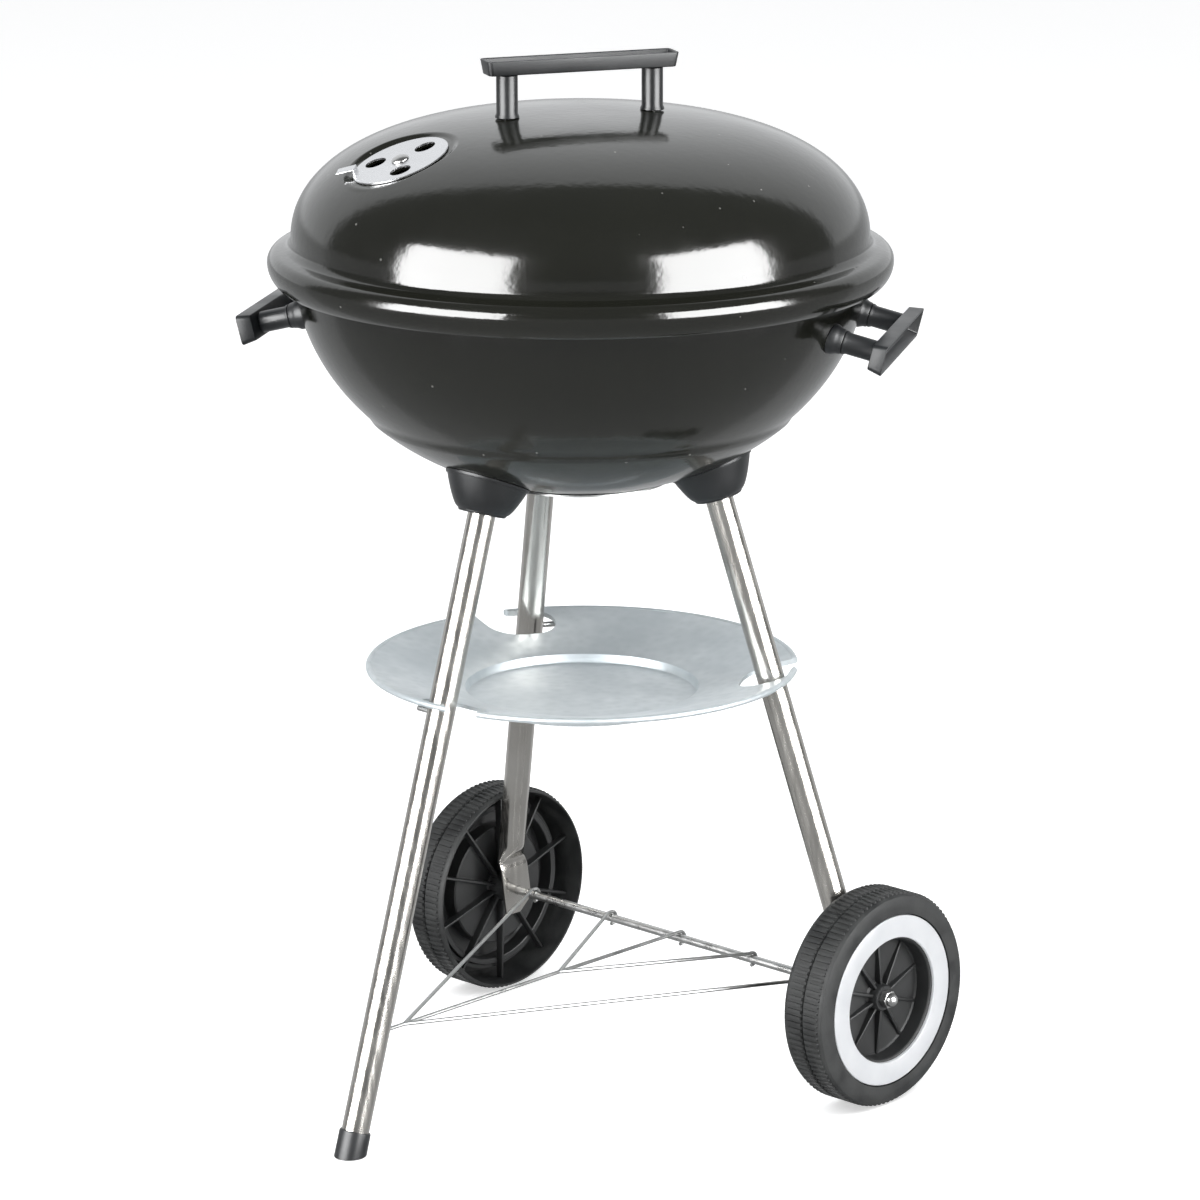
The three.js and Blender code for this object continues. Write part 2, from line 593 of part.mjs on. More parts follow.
function wheelBody() {
  const bore = AXLE_RADIUS + GAP + 0.2;
  const bossRadius = 10;
  const barrelRadius = 61;
  const ribHeight = 8;
  const outline = [
    [bore, -17.2], [bossRadius, -17.2], [bossRadius, WEB_BACK], // hub boss, inner end
    [44.5, WEB_BACK], [44.5, 11.5], [57, 11.5], [57, WEB_BACK], // back of the web and of the recess
    [barrelRadius, WEB_BACK], [barrelRadius, 14.5], // barrel that carries the tyre
    [44, 14.5], [42, 12.5], [42, 2], [bossRadius, 2], // plateau under the trim ring, then the dished web
    [bossRadius, 10], [bore, 10], // hub boss, outer end
  ];
  const ribStart = bossRadius - 1;
  const ribLength = TREAD_INNER_RADIUS - GAP - 0.1 - ribStart;
  const ribMiddleZ = WEB_BACK + 1 - ribHeight / 2;
  const spokes = [];
  for (let i = 0; i < SPOKES; i += 1) {
    const turn = new THREE.Matrix4().makeRotationZ((i / SPOKES) * 2 * Math.PI);
    spokes.push(placed(block(34, 3, 6, 26, 0, 4), turn));
    spokes.push(placed(block(ribLength, 2, ribHeight, ribStart + ribLength / 2, 0, ribMiddleZ), turn));
  }
  return joined(revolve(outline, 20), ...spokes);
}

const trimRing = () => revolve([[44.6, 14.8], [60.6, 14.8], [60.2, 17], [45, 17]], 24);
const washer = () => revolve([[AXLE_RADIUS + GAP, 0], [9, 0], [9, 1.4], [AXLE_RADIUS + GAP, 1.4]], 14);

// A domed hexagon nut that closes the end of the axle.
function axleNut() {
  const hexagon = upright(6.6, 0, 5, 6);
  const dome = revolve([[0, 4], [5, 4], ...arc(0, 5, 5, 0, 90, 3)], 12);
  return cutBy(joined(hexagon, dome), upright(AXLE_RADIUS + GAP, -1, 5, 12));
}

function wheel(side) {
  const out = side === 'right' ? 1 : -1;
  const name = (piece) => `${piece}_${side}`;
  const frame = frameAt(
    new THREE.Vector3(out * WHEEL_MID_X, AXLE_Y, AXLE_Z),
    new THREE.Vector3(out, 0, 0),
    new THREE.Vector3(0, 0, 1),
  );
  const along = (z, mesh) => groupAt(new THREE.Matrix4().makeTranslation(0, 0, z), mesh);
  return groupAt(
    frame,
    toMesh(name('wheel_tyre'), tyre(), tyrePlastic),
    toMesh(name('wheel_body'), wheelBody(), blackPlastic),
    toMesh(name('wheel_trim_ring'), trimRing(), whitePlastic),
    along(10.3, toMesh(name('axle_nut'), axleNut(), steelTube)),
    along(-18.9, toMesh(name('axle_washer'), washer(), steelTube)),
  );
}

// ---- wire brace between the front leg and the axle ----
function brace() {
  const apex = [0, -176, BRACE_Z];
  const fork = [0, -24, BRACE_Z];
  const hookEnds = [-145, -67, 1, 70, 145];
  const wires = hookEnds.map((x, i) => {
    const start = i === 0 || i === 4 ? apex : fork;
    return wire([start, [x, AXLE_Y, BRACE_Z]], WIRE_RADIUS, 5, 1);
  });
  wires.push(wire([apex, fork], WIRE_RADIUS, 5, 1));
  const legSide = legAxis.front.at(BRACE_Z).y + 3;
  wires.push(wire([[0, legSide, BRACE_Z], apex], WIRE_RADIUS, 5, 1));
  const reach = AXLE_RADIUS + WIRE_RADIUS + GAP;
  for (const x of hookEnds) {
    const points = arc(AXLE_Y, AXLE_Z, reach, 100, -95, 6).map(([y, z]) => [x, y, z]);
    wires.push(wire(points, WIRE_RADIUS, 5, 6, true));
  }
  return joined(...wires);
}

// ---- ash tray ----
const TRAY_SLOT_HALF = 11.2; // from the leg's axis out to the rim side of a slot, a little over its radius
const TRAY_END_RADIUS = 17; // round end of a slot, wider than the leg towards the middle of the tray

// Distance of a leg from the centre of the tray, at the height where it passes through it.
function slotRadius(leg) {
  const at = leg.at(TRAY_RIM_Z - 4);
  return Math.hypot(at.x, at.y);
}

// One slot: a round end that clears the leg, a short lead behind the rim, and a bite that opens it.
function trayCut(leg) {
  const outer = slotRadius(leg) + TRAY_SLOT_HALF;
  const inner = outer - 2 * TRAY_END_RADIUS;
  const beyond = TRAY_RADIUS + 20;
  const outline = [
    [inner, 0], [inner, 4], [inner + 1, 8], [inner + 4, 11], [inner + 9, 13.5], [inner + 16, 15],
    [outer, 15.6], [beyond, 16], [beyond, 6], [outer + 1, 6], [outer, 4], [outer, 0],
  ];
  const shape = new THREE.Shape(outline.map(([radius, degrees]) => {
    const at = polar(leg.angle + THREE.MathUtils.degToRad(degrees), radius, 0);
    return new THREE.Vector2(at.x, at.y);
  }));
  const lead = toSolid(new THREE.ExtrudeGeometry(shape, { depth: 60, bevelEnabled: false }));
  const end = polar(leg.angle, outer - TRAY_END_RADIUS, 0);
  return joined(shifted(upright(TRAY_END_RADIUS, 260, 320, 18), end.x, end.y, 0), shifted(lead, 0, 0, 260));
}

function ashTray() {
  const rim = arc(TRAY_RADIUS - 2.6, TRAY_RIM_Z, 2.6, -60, 150, 4);
  const outside = [[0, 277], [77, 277], [80, 279], [82.5, 284]];
  const inside = [[81.5, 285.3], [79, 280.6], [76, 278.4], [0, 278.4]];
  const dish = revolve([...outside, ...rim, ...inside], FACETS);
  return cutBy(dish, ...Object.values(legAxis).map(trayCut));
}

// A short pin out of the side of each leg, just under the tray, that carries it beside the slot's end.
function trayPin(leg) {
  const at = leg.at(292.4); // just under the tray's sloping wall
  const sideways = polar(leg.angle - Math.PI / 2, 1, 0);
  const frame = frameAt(at, sideways, new THREE.Vector3(0, 0, 1));
  const pin = upright(2, LEG_RADIUS + 0.5, LEG_RADIUS + 12, 8);
  return groupAt(frame, toMesh(`tray_pin_${leg.name}`, pin, steelTube));
}

// ---- grids inside the bowl ----
const COOKING_GRID_Z = 566;
const COOKING_GRID_RADIUS = 183;
const CHARCOAL_GRATE_Z = 497;
const CHARCOAL_GRATE_RADIUS = 150;

function rodGrid(ringRadius, ringWire, rodWire, spacing, crossAt) {
  const ringSection = arc(ringRadius, 0, ringWire, 0, 288, 4);
  const rods = [];
  const half = (at) => Math.sqrt(ringRadius ** 2 - at ** 2);
  const count = Math.floor((ringRadius - 6) / spacing);
  for (let i = -count; i <= count; i += 1) {
    const x = i * spacing;
    rods.push(wire([[x, -half(x), 0], [x, half(x), 0]], rodWire, 5, 1));
  }
  for (const y of crossAt) {
    const drop = rodWire * 1.4;
    rods.push(wire([[-half(y), y, -drop], [half(y), y, -drop]], rodWire, 5, 1));
  }
  return joined(revolve(ringSection, 30), ...rods);
}

function gridBracket(index) {
  const tab = block(22, 16, 2, 186, 0, COOKING_GRID_Z - 4.2);
  const gusset = block(2.5, 16, 20, 186.5, 0, COOKING_GRID_Z - 13.2);
  const turn = new THREE.Matrix4().makeRotationZ((index * 2 * Math.PI) / 3);
  const inBowl = bowlBody(-SHEET - GAP);
  return placed(joined(tab, gusset), turn).intersect(inBowl);
}

// ---- assembly ----
const assembly = new THREE.Group();
assembly.add(
  toMesh('bowl_shell', bowlShell(), enamel),
  toMesh('bowl_damper', bowlDamper(), ventSteel),
  toMesh('bowl_damper_rivet', placed(rivet(5.5, -3.2, 1.6), frameAt(
    new THREE.Vector3(0, 0, 427), new THREE.Vector3(0, 0, -1), new THREE.Vector3(1, 0, 0))), steelTube),
  sideHandle('right'),
  sideHandle('left'),
);
for (const leg of Object.values(legAxis)) {
  assembly.add(legSocket(leg), socketScrew(leg), trayPin(leg));
}
assembly.add(
  toMesh('leg_front', frontLeg(legAxis.front), steelTube),
  toMesh('leg_right', rearLeg(legAxis.right), steelTube),
  toMesh('leg_left', rearLeg(legAxis.left), steelTube),
  toMesh('foot_cap', footCap(legAxis.front), blackPlastic),
  toMesh('ash_tray', ashTray(), galvanised),
  groupAt(new THREE.Matrix4().makeTranslation(0, AXLE_Y, AXLE_Z), toMesh('axle', axle(), steelTube)),
  wheel('right'),
  wheel('left'),
  toMesh('wire_brace', brace(), gridWire),
);
for (let i = 0; i < 3; i += 1) {
  assembly.add(toMesh(`grid_bracket_${i + 1}`, gridBracket(i), ventSteel));
}

const grids = [
  ['cooking_grid', COOKING_GRID_Z, rodGrid(COOKING_GRID_RADIUS, 2.8, 2, 22, [-90, 90])],
  ['charcoal_grate', CHARCOAL_GRATE_Z, rodGrid(CHARCOAL_GRATE_RADIUS, 3, 2.6, 30, [-75, 75])],
];
for (const [name, z, solid] of grids) {
  assembly.add(groupAt(new THREE.Matrix4().makeTranslation(0, 0, z), toMesh(name, solid, gridWire)));
}

assembly.add(
  toMesh('lid_shell', lidShell(), enamel),
  groupAt(ventPlace,
    toMesh('lid_damper', lidDamper(), ventSteel),
    toMesh('lid_damper_rivet', rivet(6, -SHEET - GAP, 1.5 + GAP), steelTube)),
  lidHandle(),
);

const box = new THREE.Box3().setFromObject(assembly);
assembly.position.set(-(box.min.x + box.max.x) / 2, -(box.min.y + box.max.y) / 2, -box.min.z);

const grill = new THREE.Group();
grill.add(assembly);

export default grill;
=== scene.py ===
import math

import bmesh
import bpy
from mathutils import Matrix, Vector


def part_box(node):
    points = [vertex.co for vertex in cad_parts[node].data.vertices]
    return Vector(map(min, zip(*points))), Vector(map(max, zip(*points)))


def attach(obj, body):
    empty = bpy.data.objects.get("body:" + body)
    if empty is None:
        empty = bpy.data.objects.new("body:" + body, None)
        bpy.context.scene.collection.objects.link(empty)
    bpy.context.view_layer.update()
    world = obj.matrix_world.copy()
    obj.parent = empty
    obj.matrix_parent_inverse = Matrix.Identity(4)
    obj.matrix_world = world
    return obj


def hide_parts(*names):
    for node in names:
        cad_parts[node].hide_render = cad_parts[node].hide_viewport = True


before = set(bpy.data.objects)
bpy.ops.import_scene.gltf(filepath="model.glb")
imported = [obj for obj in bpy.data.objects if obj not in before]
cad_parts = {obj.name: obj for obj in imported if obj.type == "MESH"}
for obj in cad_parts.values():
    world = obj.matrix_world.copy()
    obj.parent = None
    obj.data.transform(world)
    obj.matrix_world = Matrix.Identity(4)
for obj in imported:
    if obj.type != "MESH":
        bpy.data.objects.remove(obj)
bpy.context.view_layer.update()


# ---- bowl ----
# The lower half of the kettle, one deep drawing of thin steel with glossy near-black enamel on both
# sides. Its top edge is rolled into a bead, a low ledge is pressed in round the bottom, and three ash
# holes and the rivet of the ash damper go through the middle.
bowl_low, bowl_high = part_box("bowl_shell")
kettle_place = Matrix.Translation((0, (bowl_low.y + bowl_high.y) / 2, 0)) @ Matrix.Scale(0.001, 4)
sheet = 1.5
bowl_radius, bowl_depth, bowl_equator = 195.0, 154.0, 583.0
ledge_depth, ledge_turn = 1.6, math.radians(-42)


def arc(centre_r, centre_z, radius, from_degrees, to_degrees, steps):
    """Points (radius, height) along a circular arc of an outline."""
    step = (to_degrees - from_degrees) / steps
    turns = [math.radians(from_degrees + step * i) for i in range(steps + 1)]
    return [(centre_r + radius * math.cos(t), centre_z + radius * math.sin(t)) for t in turns]


def eased(low, high, value):
    """0 below low, 1 above high, and a smooth curve between them."""
    share = min(max((value - low) / (high - low), 0.0), 1.0)
    return share * share * (3 - 2 * share)


def bowl_outline(grow, steps=84):
    """The outside of the bowl from its bottom pole up to its widest circle."""
    points = []
    for i in range(steps + 1):
        turn = -math.pi / 2 * (1 - i / steps)
        extra = grow + ledge_depth * (1 - eased(ledge_turn - 0.02, ledge_turn + 0.02, turn))
        radius = 0.0 if i == 0 else (bowl_radius + extra) * math.cos(turn)
        points.append((radius, bowl_equator + (bowl_depth + extra) * math.sin(turn)))
    return points


def spun(outline, steps=192, closed=True):
    """A round solid: an outline of (radius, height) turned once round the Z axis."""
    bm = bmesh.new()
    verts = [bm.verts.new((r, 0, z)) for r, z in outline]
    pairs = list(zip(verts, verts[1:]))
    if closed and outline[0][0] > 0 and outline[-1][0] > 0:
        pairs.append((verts[-1], verts[0]))
    edges = [bm.edges.new(pair) for pair in pairs]
    bmesh.ops.spin(bm, geom=verts + edges, cent=(0, 0, 0), axis=(0, 0, 1), angle=2 * math.pi,
                   steps=steps, use_merge=True)
    bmesh.ops.remove_doubles(bm, verts=bm.verts, dist=1e-5)
    bmesh.ops.recalc_face_normals(bm, faces=bm.faces)
    return bm


def put(bm, matrix):
    """The same solid in another place."""
    bm.transform(matrix)
    return bm


def together(*solids):
    """Several solids in one mesh; the later ones are used up."""
    whole = bmesh.new()
    for bm in solids:
        part = bpy.data.meshes.new("part")
        bm.to_mesh(part)
        bm.free()
        whole.from_mesh(part)
        bpy.data.meshes.remove(part)
    return whole


def rounded(bm, edges, size, segments=3):
    """Some edges of a solid rounded over."""
    bmesh.ops.bevel(bm, geom=edges, offset=size, offset_type="OFFSET", affect="EDGES",
                    segments=segments, profile=0.5, material=-1)


def carved(bm, tool, operation="DIFFERENCE"):
    """bm cut by, or kept inside, another closed solid."""
    shapes = []
    for solid in (bm, tool):
        data = bpy.data.meshes.new("carving")
        solid.to_mesh(data)
        solid.free()
        shapes.append(bpy.data.objects.new("carving", data))
        bpy.context.scene.collection.objects.link(shapes[-1])
    work, cutter = shapes
    step = work.modifiers.new("carve", "BOOLEAN")
    step.object, step.operation, step.solver = cutter, operation, "EXACT"
    graph = bpy.context.evaluated_depsgraph_get()
    result = bmesh.new()
    result.from_mesh(work.evaluated_get(graph).to_mesh())
    for shape in shapes:
        data = shape.data
        bpy.data.objects.remove(shape)
        bpy.data.meshes.remove(data)
    return result


def piece(name, bm, material, body, nodes, place=kettle_place, crease=32):
    """Finishes a mesh as one named piece that rides on a body and stands for its CAD nodes."""
    bm.transform(place)
    for face in bm.faces:
        face.smooth = True
    for edge in bm.edges:
        edge.smooth = len(edge.link_faces) == 2 and edge.calc_face_angle() < math.radians(crease)
    data = bpy.data.meshes.new(name)
    bm.to_mesh(data)
    bm.free()
    data.materials.append(material)
    made = bpy.data.objects.new(name, data)
    bpy.context.scene.collection.objects.link(made)
    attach(made, body)
    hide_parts(*nodes)
    return made


def finish_of(name, colour, metallic, roughness, **sockets):
    """A new material with a Principled shader, its node tree, and a place for patterns to read."""
    material = bpy.data.materials.new(name)
    material.use_nodes = True
    tree = material.node_tree
    shader = tree.nodes["Principled BSDF"]
    shader.inputs["Base Color"].default_value = (*colour, 1)
    shader.inputs["Metallic"].default_value = metallic
    shader.inputs["Roughness"].default_value = roughness
    for socket, value in sockets.items():
        shader.inputs[socket.replace("_", " ")].default_value = value
    where = tree.nodes.new("ShaderNodeTexCoord")
    return material, tree, shader, where


def noise(tree, where, scale, detail=3, stretch=(1, 1, 1), turn=(0, 0, 0)):
    """A cloudy pattern on the piece's own coordinates, drawn out along its axes by stretch."""
    mapping = tree.nodes.new("ShaderNodeMapping")
    mapping.inputs["Scale"].default_value = stretch
    mapping.inputs["Rotation"].default_value = turn
    pattern = tree.nodes.new("ShaderNodeTexNoise")
    pattern.inputs["Scale"].default_value = scale
    pattern.inputs["Detail"].default_value = detail
    tree.links.new(where.outputs["Object"], mapping.inputs["Vector"])
    tree.links.new(mapping.outputs["Vector"], pattern.inputs["Vector"])
    return pattern.outputs["Fac"]


def ranged(tree, value, from_low, from_high, to_low, to_high):
    """value between two limits, carried over to two others."""
    node = tree.nodes.new("ShaderNodeMapRange")
    for socket, number in zip(("From Min", "From Max", "To Min", "To Max"),
                              (from_low, from_high, to_low, to_high)):
        node.inputs[socket].default_value = number
    tree.links.new(value, node.inputs["Value"])
    return node.outputs["Result"]


def blended(tree, share, first, second):
    """A colour between two others."""
    node = tree.nodes.new("ShaderNodeMix")
    node.data_type = "RGBA"
    node.inputs["A"].default_value = (*first, 1)
    node.inputs["B"].default_value = (*second, 1)
    tree.links.new(share, node.inputs["Factor"])
    return node.outputs["Result"]


def raised(tree, shader, *layers):
    """Bumps on the surface: layers of (height, strength, distance in metres), one over the other."""
    normal = None
    for height, strength, distance in layers:
        bump = tree.nodes.new("ShaderNodeBump")
        bump.inputs["Strength"].default_value = strength
        bump.inputs["Distance"].default_value = distance
        tree.links.new(height, bump.inputs["Height"])
        if normal is not None:
            tree.links.new(normal, bump.inputs["Normal"])
        normal = bump.outputs["Normal"]
    tree.links.new(normal, shader.inputs["Normal"])


def enamel_finish(name):
    """Fired porcelain enamel: deep gloss, a slightly rippled skin, faint clouds and a few dust specks."""
    material, tree, shader, where = finish_of(name, (0.012, 0.013, 0.010), 0, 0.13,
                                              Specular_IOR_Level=0.62)
    clouds = noise(tree, where, 9, 4)
    specks = tree.nodes.new("ShaderNodeTexVoronoi")
    specks.inputs["Scale"].default_value = 46
    tree.links.new(where.outputs["Object"], specks.inputs["Vector"])
    dust = ranged(tree, specks.outputs["Distance"], 0.028, 0.045, 1, 0)
    base = blended(tree, clouds, (0.0060, 0.0066, 0.0046), (0.0125, 0.0130, 0.0098))
    mix = tree.nodes.new("ShaderNodeMix")
    mix.data_type = "RGBA"
    mix.inputs["B"].default_value = (0.16, 0.16, 0.15, 1)
    tree.links.new(dust, mix.inputs["Factor"])
    tree.links.new(base, mix.inputs["A"])
    tree.links.new(mix.outputs["Result"], shader.inputs["Base Color"])
    tree.links.new(ranged(tree, noise(tree, where, 26, 5), 0.3, 0.7, 0.10, 0.17),
                   shader.inputs["Roughness"])
    raised(tree, shader, (noise(tree, where, 210, 2), 0.10, 0.0009),
           (noise(tree, where, 24, 2), 0.10, 0.002))
    return material


enamel = enamel_finish("enamel")
ash_hole_offset, ash_hole_radius = 38.0, 13.0
ash_drill = (ash_hole_radius, ash_hole_offset, 0, 400, 460)
bowl_bead = arc(198.6, 590.9, 2.9, -125, 180, 20)
bowl_inside = bowl_outline(-sheet)[::-1]
bowl_mesh = spun(bowl_outline(0) + [(bowl_radius, 587.5)] + bowl_bead + [(193.5, 589.5)] + bowl_inside)


def upright(radius, low, high, steps=32, top_radius=None):
    """A plain round bar, used for drilling and as the start of turned pieces."""
    return spun([(0, low), (radius, low), (radius if top_radius is None else top_radius, high),
                 (0, high)], steps)


def three_holes(radius, offset, phase, low, high):
    """Three round bars in a ring, to drill the matching holes of a damper and the wall under it."""
    bars = []
    for k in range(3):
        turn = phase + k * 2 * math.pi / 3
        spot = (offset * math.cos(turn), offset * math.sin(turn), 0)
        bars.append(put(upright(radius, low, high, 40), Matrix.Translation(spot)))
    return together(*bars)


bowl_mesh = carved(bowl_mesh, three_holes(*ash_drill))
piece("enamel_bowl", bowl_mesh, enamel, "stand_and_bowl", ["bowl_shell"])


# ---- rotary ash damper under the bowl ----
# A dished steel disc with three holes, held against the bottom of the bowl by one rivet. A strap is
# welded to its edge and bent down into a grip; turning it opens or shuts the three ash holes.
damper_reach = 62.0


def sheet_steel_finish(name, colour=(0.56, 0.57, 0.565), roughness=0.3):
    """Bare rolled sheet: fine lines one way, soft stains and small scuffs."""
    material, tree, shader, where = finish_of(name, colour, 0.9, roughness)
    lines = noise(tree, where, 160, 3, (1, 9, 9))
    stains = noise(tree, where, 22, 5)
    darker = tuple(c * 0.82 for c in colour)
    tree.links.new(blended(tree, stains, darker, colour), shader.inputs["Base Color"])
    tree.links.new(ranged(tree, lines, 0.3, 0.7, roughness - 0.06, roughness + 0.09),
                   shader.inputs["Roughness"])
    raised(tree, shader, (lines, 0.06, 0.0003), (stains, 0.08, 0.001))
    return material


def dished(grow, steps=14):
    """The outline that the damper shares with the bottom of the bowl, a little further out."""
    full = bowl_radius + ledge_depth + grow
    points = []
    for i in range(steps + 1):
        radius = damper_reach * i / steps
        height = (bowl_depth + ledge_depth + grow) * math.sqrt(1 - (radius / full) ** 2)
        points.append((radius, bowl_equator - height))
    return points


def block(width, depth, height, x, y, z, edge=0.0):
    """A block with its edges rounded over."""
    bm = bmesh.new()
    stretched = Matrix.Diagonal((width, depth, height, 1))
    bmesh.ops.create_cube(bm, size=1, matrix=Matrix.Translation((x, y, z)) @ stretched)
    if edge:
        rounded(bm, list(bm.edges), edge)
    return bm


sheet_steel = sheet_steel_finish("sheet_steel")
lever_turn = Matrix.Rotation(math.radians(60), 4, "Z")
damper_mesh = carved(spun(dished(1.9) + dished(0.7)[::-1], 120), three_holes(*ash_drill))
lever_mesh = put(block(34, 12, 1.3, damper_reach + 9, 0, 433.2, 0.4), lever_turn)
grip_mesh = put(block(1.7, 12, 14, damper_reach + 26, 0, 426.9, 0.5), lever_turn)
piece("ash_damper", together(damper_mesh, lever_mesh, grip_mesh), sheet_steel, "bowl_damper",
      ["bowl_damper"])


# ---- rivets and screws ----
# Zinc-plated rivets hold both dampers; pan-head screws with a cross recess run up through the bowl and
# lid into the plastic posts and down into the leg sockets.
def plated_finish(name):
    """Zinc plate on small fixings: bright, with tiny pits and a slight grey haze."""
    material, tree, shader, where = finish_of(name, (0.45, 0.45, 0.445), 1, 0.3)
    haze = noise(tree, where, 110, 4)
    tree.links.new(blended(tree, haze, (0.36, 0.36, 0.355), (0.52, 0.52, 0.515)),
                   shader.inputs["Base Color"])
    tree.links.new(ranged(tree, haze, 0.3, 0.7, 0.24, 0.36), shader.inputs["Roughness"])
    raised(tree, shader, (haze, 0.02, 0.0002))
    return material


plated = plated_finish("plated_fixings")


def rivet(head, low, high):
    """A rivet with a low domed head, a shank through both sheets and a flat set head."""
    dome = [(r, high + (z - high) * 0.45) for r, z in arc(0, high, head, 0, 90, 10)]
    dome[-1] = (0, dome[-1][1])
    return spun([(0, low - 1.5), (head - 0.4, low - 1.5), (head, low - 1.1), (head, low), (3, low),
                 (3, high)] + dome, 40)


def screw(base, tip):
    """A pan-head screw, head down, with a cross recess."""
    dome = [(r, base + (z - base) * 0.55) for r, z in arc(0, base, 5.2, 270, 360, 10)]
    dome[0] = (0, dome[0][1])
    body = spun(dome + [(2.5, base), (2.5, tip - 1.5), (1.2, tip), (0, tip)], 32)
    recess_length, recess_width, recess_depth, head_z = 5.2, 1.1, 2.4, dome[0][1]
    one_way = carved(body, block(recess_length, recess_width, recess_depth, 0, 0, head_z))
    return carved(one_way, block(recess_width, recess_length, recess_depth, 0, 0, head_z))


flipped = Matrix.Rotation(math.pi, 4, "X")
ash_rivet = put(rivet(5.5, -3.2, 1.6), Matrix.Translation((0, 0, 427)) @ flipped)
piece("ash_damper_rivet", ash_rivet, plated, "stand_and_bowl", ["bowl_damper_rivet"])


# ---- leg sockets ----
# Three moulded black cups under the bowl. Each is screwed through the enamel from inside, its flared
# foot follows the bowl, and the leg tube is pushed into its mouth.
leg_top_z, leg_top_radius = 437.0, 93.0
axle_z = 76.0
leg_low = {"front": (-90, 228.0, 0.0), "right": (30, 199.0, axle_z), "left": (150, 199.0, axle_z)}


def polar(turn, radius, z):
    return Vector((radius * math.cos(turn), radius * math.sin(turn), z))


def leg_point(leg, z):
    """The axis of a leg at a height."""
    degrees, low_radius, low_z = leg_low[leg]
    slope = (low_radius - leg_top_radius) / (leg_top_z - low_z)
    return polar(math.radians(degrees), leg_top_radius + (leg_top_z - z) * slope, z)


def placed(origin, z_axis, x_hint):
    """The place of a part whose own Z runs along z_axis, with its own X as near as can be to x_hint."""
    z = z_axis.normalized()
    y = z.cross(x_hint).normalized()
    return Matrix.Translation(origin) @ Matrix((y.cross(z), y, z)).transposed().to_4x4()


def leg_place(leg, z):
    up = leg_point(leg, leg_top_z) - leg_point(leg, 0)
    return placed(leg_point(leg, z), up, polar(math.radians(leg_low[leg][0]), 1, 0))


def filled_bowl(grow):
    """The bowl as a solid, to shape what is fitted against it."""
    return spun(bowl_outline(grow, 56) + [(bowl_radius + grow, 640), (0, 640)], 160)


def moulded_finish(name, colour, roughness, grain=620.0, relief=0.10):
    """Injection-moulded plastic: a fine even grain, faint flow clouds and rubbed, shinier patches."""
    material, tree, shader, where = finish_of(name, colour, 0, roughness, Specular_IOR_Level=0.4)
    clouds = noise(tree, where, 30, 5)
    tree.links.new(blended(tree, clouds, tuple(c * 0.75 for c in colour),
                           tuple(c * 1.5 + 0.002 for c in colour)),
                   shader.inputs["Base Color"])
    tree.links.new(ranged(tree, clouds, 0.3, 0.7, roughness - 0.07, roughness + 0.09),
                   shader.inputs["Roughness"])
    raised(tree, shader, (noise(tree, where, grain, 2), relief, 0.0003), (clouds, 0.08, 0.001))
    return material


black_plastic = moulded_finish("black_plastic", (0.011, 0.0125, 0.014), 0.36)
for leg in leg_low:
    mouth = leg_place(leg, 424)
    side = [(16.6 + 12.6 * (i / 14) ** 0.68, 1.4 + 23.6 * i / 14) for i in range(15)]
    lip = spun([(0, 4), (17, 4)] + [(r + 0.8, z) for r, z in side[2:]] + [(30, 42), (0, 42)], 96)
    lip = carved(lip, put(filled_bowl(2.2), mouth.inverted()), "INTERSECT")
    cup = spun([(0, 0), (15.4, 0), (16.1, 0.3), (16.5, 0.8)] + side + [(29.2, 42), (0, 42)], 96)
    cup = carved(carved(cup, lip, "UNION"), put(filled_bowl(0.3), mouth.inverted()))
    cup = carved(cup, spun([(0, -3), (10.5, -3), (10.2, 0.3), (9.8, 0.8), (9.8, 17), (0, 17)], 64))
    piece(f"leg_socket_{leg}", put(cup, mouth), black_plastic, "stand_and_bowl",
          [f"leg_socket_{leg}"])
    bolt = put(screw(0, 10), mouth @ Matrix.Translation((0, 0, 28.5)) @ flipped)
    piece(f"leg_screw_{leg}", bolt, plated, "stand_and_bowl", [f"leg_screw_{leg}"])


# ---- legs and foot cap ----
# Thin-walled polished steel tube, 19 mm across. The front leg is cut straight and wears a black foot
# cap; the two wheel legs are pressed flat at the bottom and bent upright to carry the axle.
tube_radius, tube_wall = 9.5, 1.3
tab_x, tab_half, bend_z, flattening = 163.7, (1.5, 13.5), 97.0, 16.0
wheel_leg_degrees, wheel_leg_radius = leg_low["right"][:2]
axle_y = wheel_leg_radius * math.sin(math.radians(wheel_leg_degrees))


def tube_finish(name, leg):
    """Polished tube: drawing lines run along the leg, with a little haze and warm staining."""
    along = leg_point(leg, leg_top_z) - leg_point(leg, 0)
    turn = along.rotation_difference(Vector((0, 0, 1))).to_euler()
    material, tree, shader, where = finish_of(name, (0.52, 0.505, 0.475), 1, 0.2)
    drawn = noise(tree, where, 330, 3, (1, 1, 0.012), tuple(turn))
    haze = noise(tree, where, 30, 5)
    tree.links.new(blended(tree, haze, (0.44, 0.42, 0.39), (0.60, 0.585, 0.555)),
                   shader.inputs["Base Color"])
    tree.links.new(ranged(tree, drawn, 0.3, 0.7, 0.15, 0.27), shader.inputs["Roughness"])
    raised(tree, shader, (drawn, 0.08, 0.0003), (haze, 0.06, 0.002))
    return material


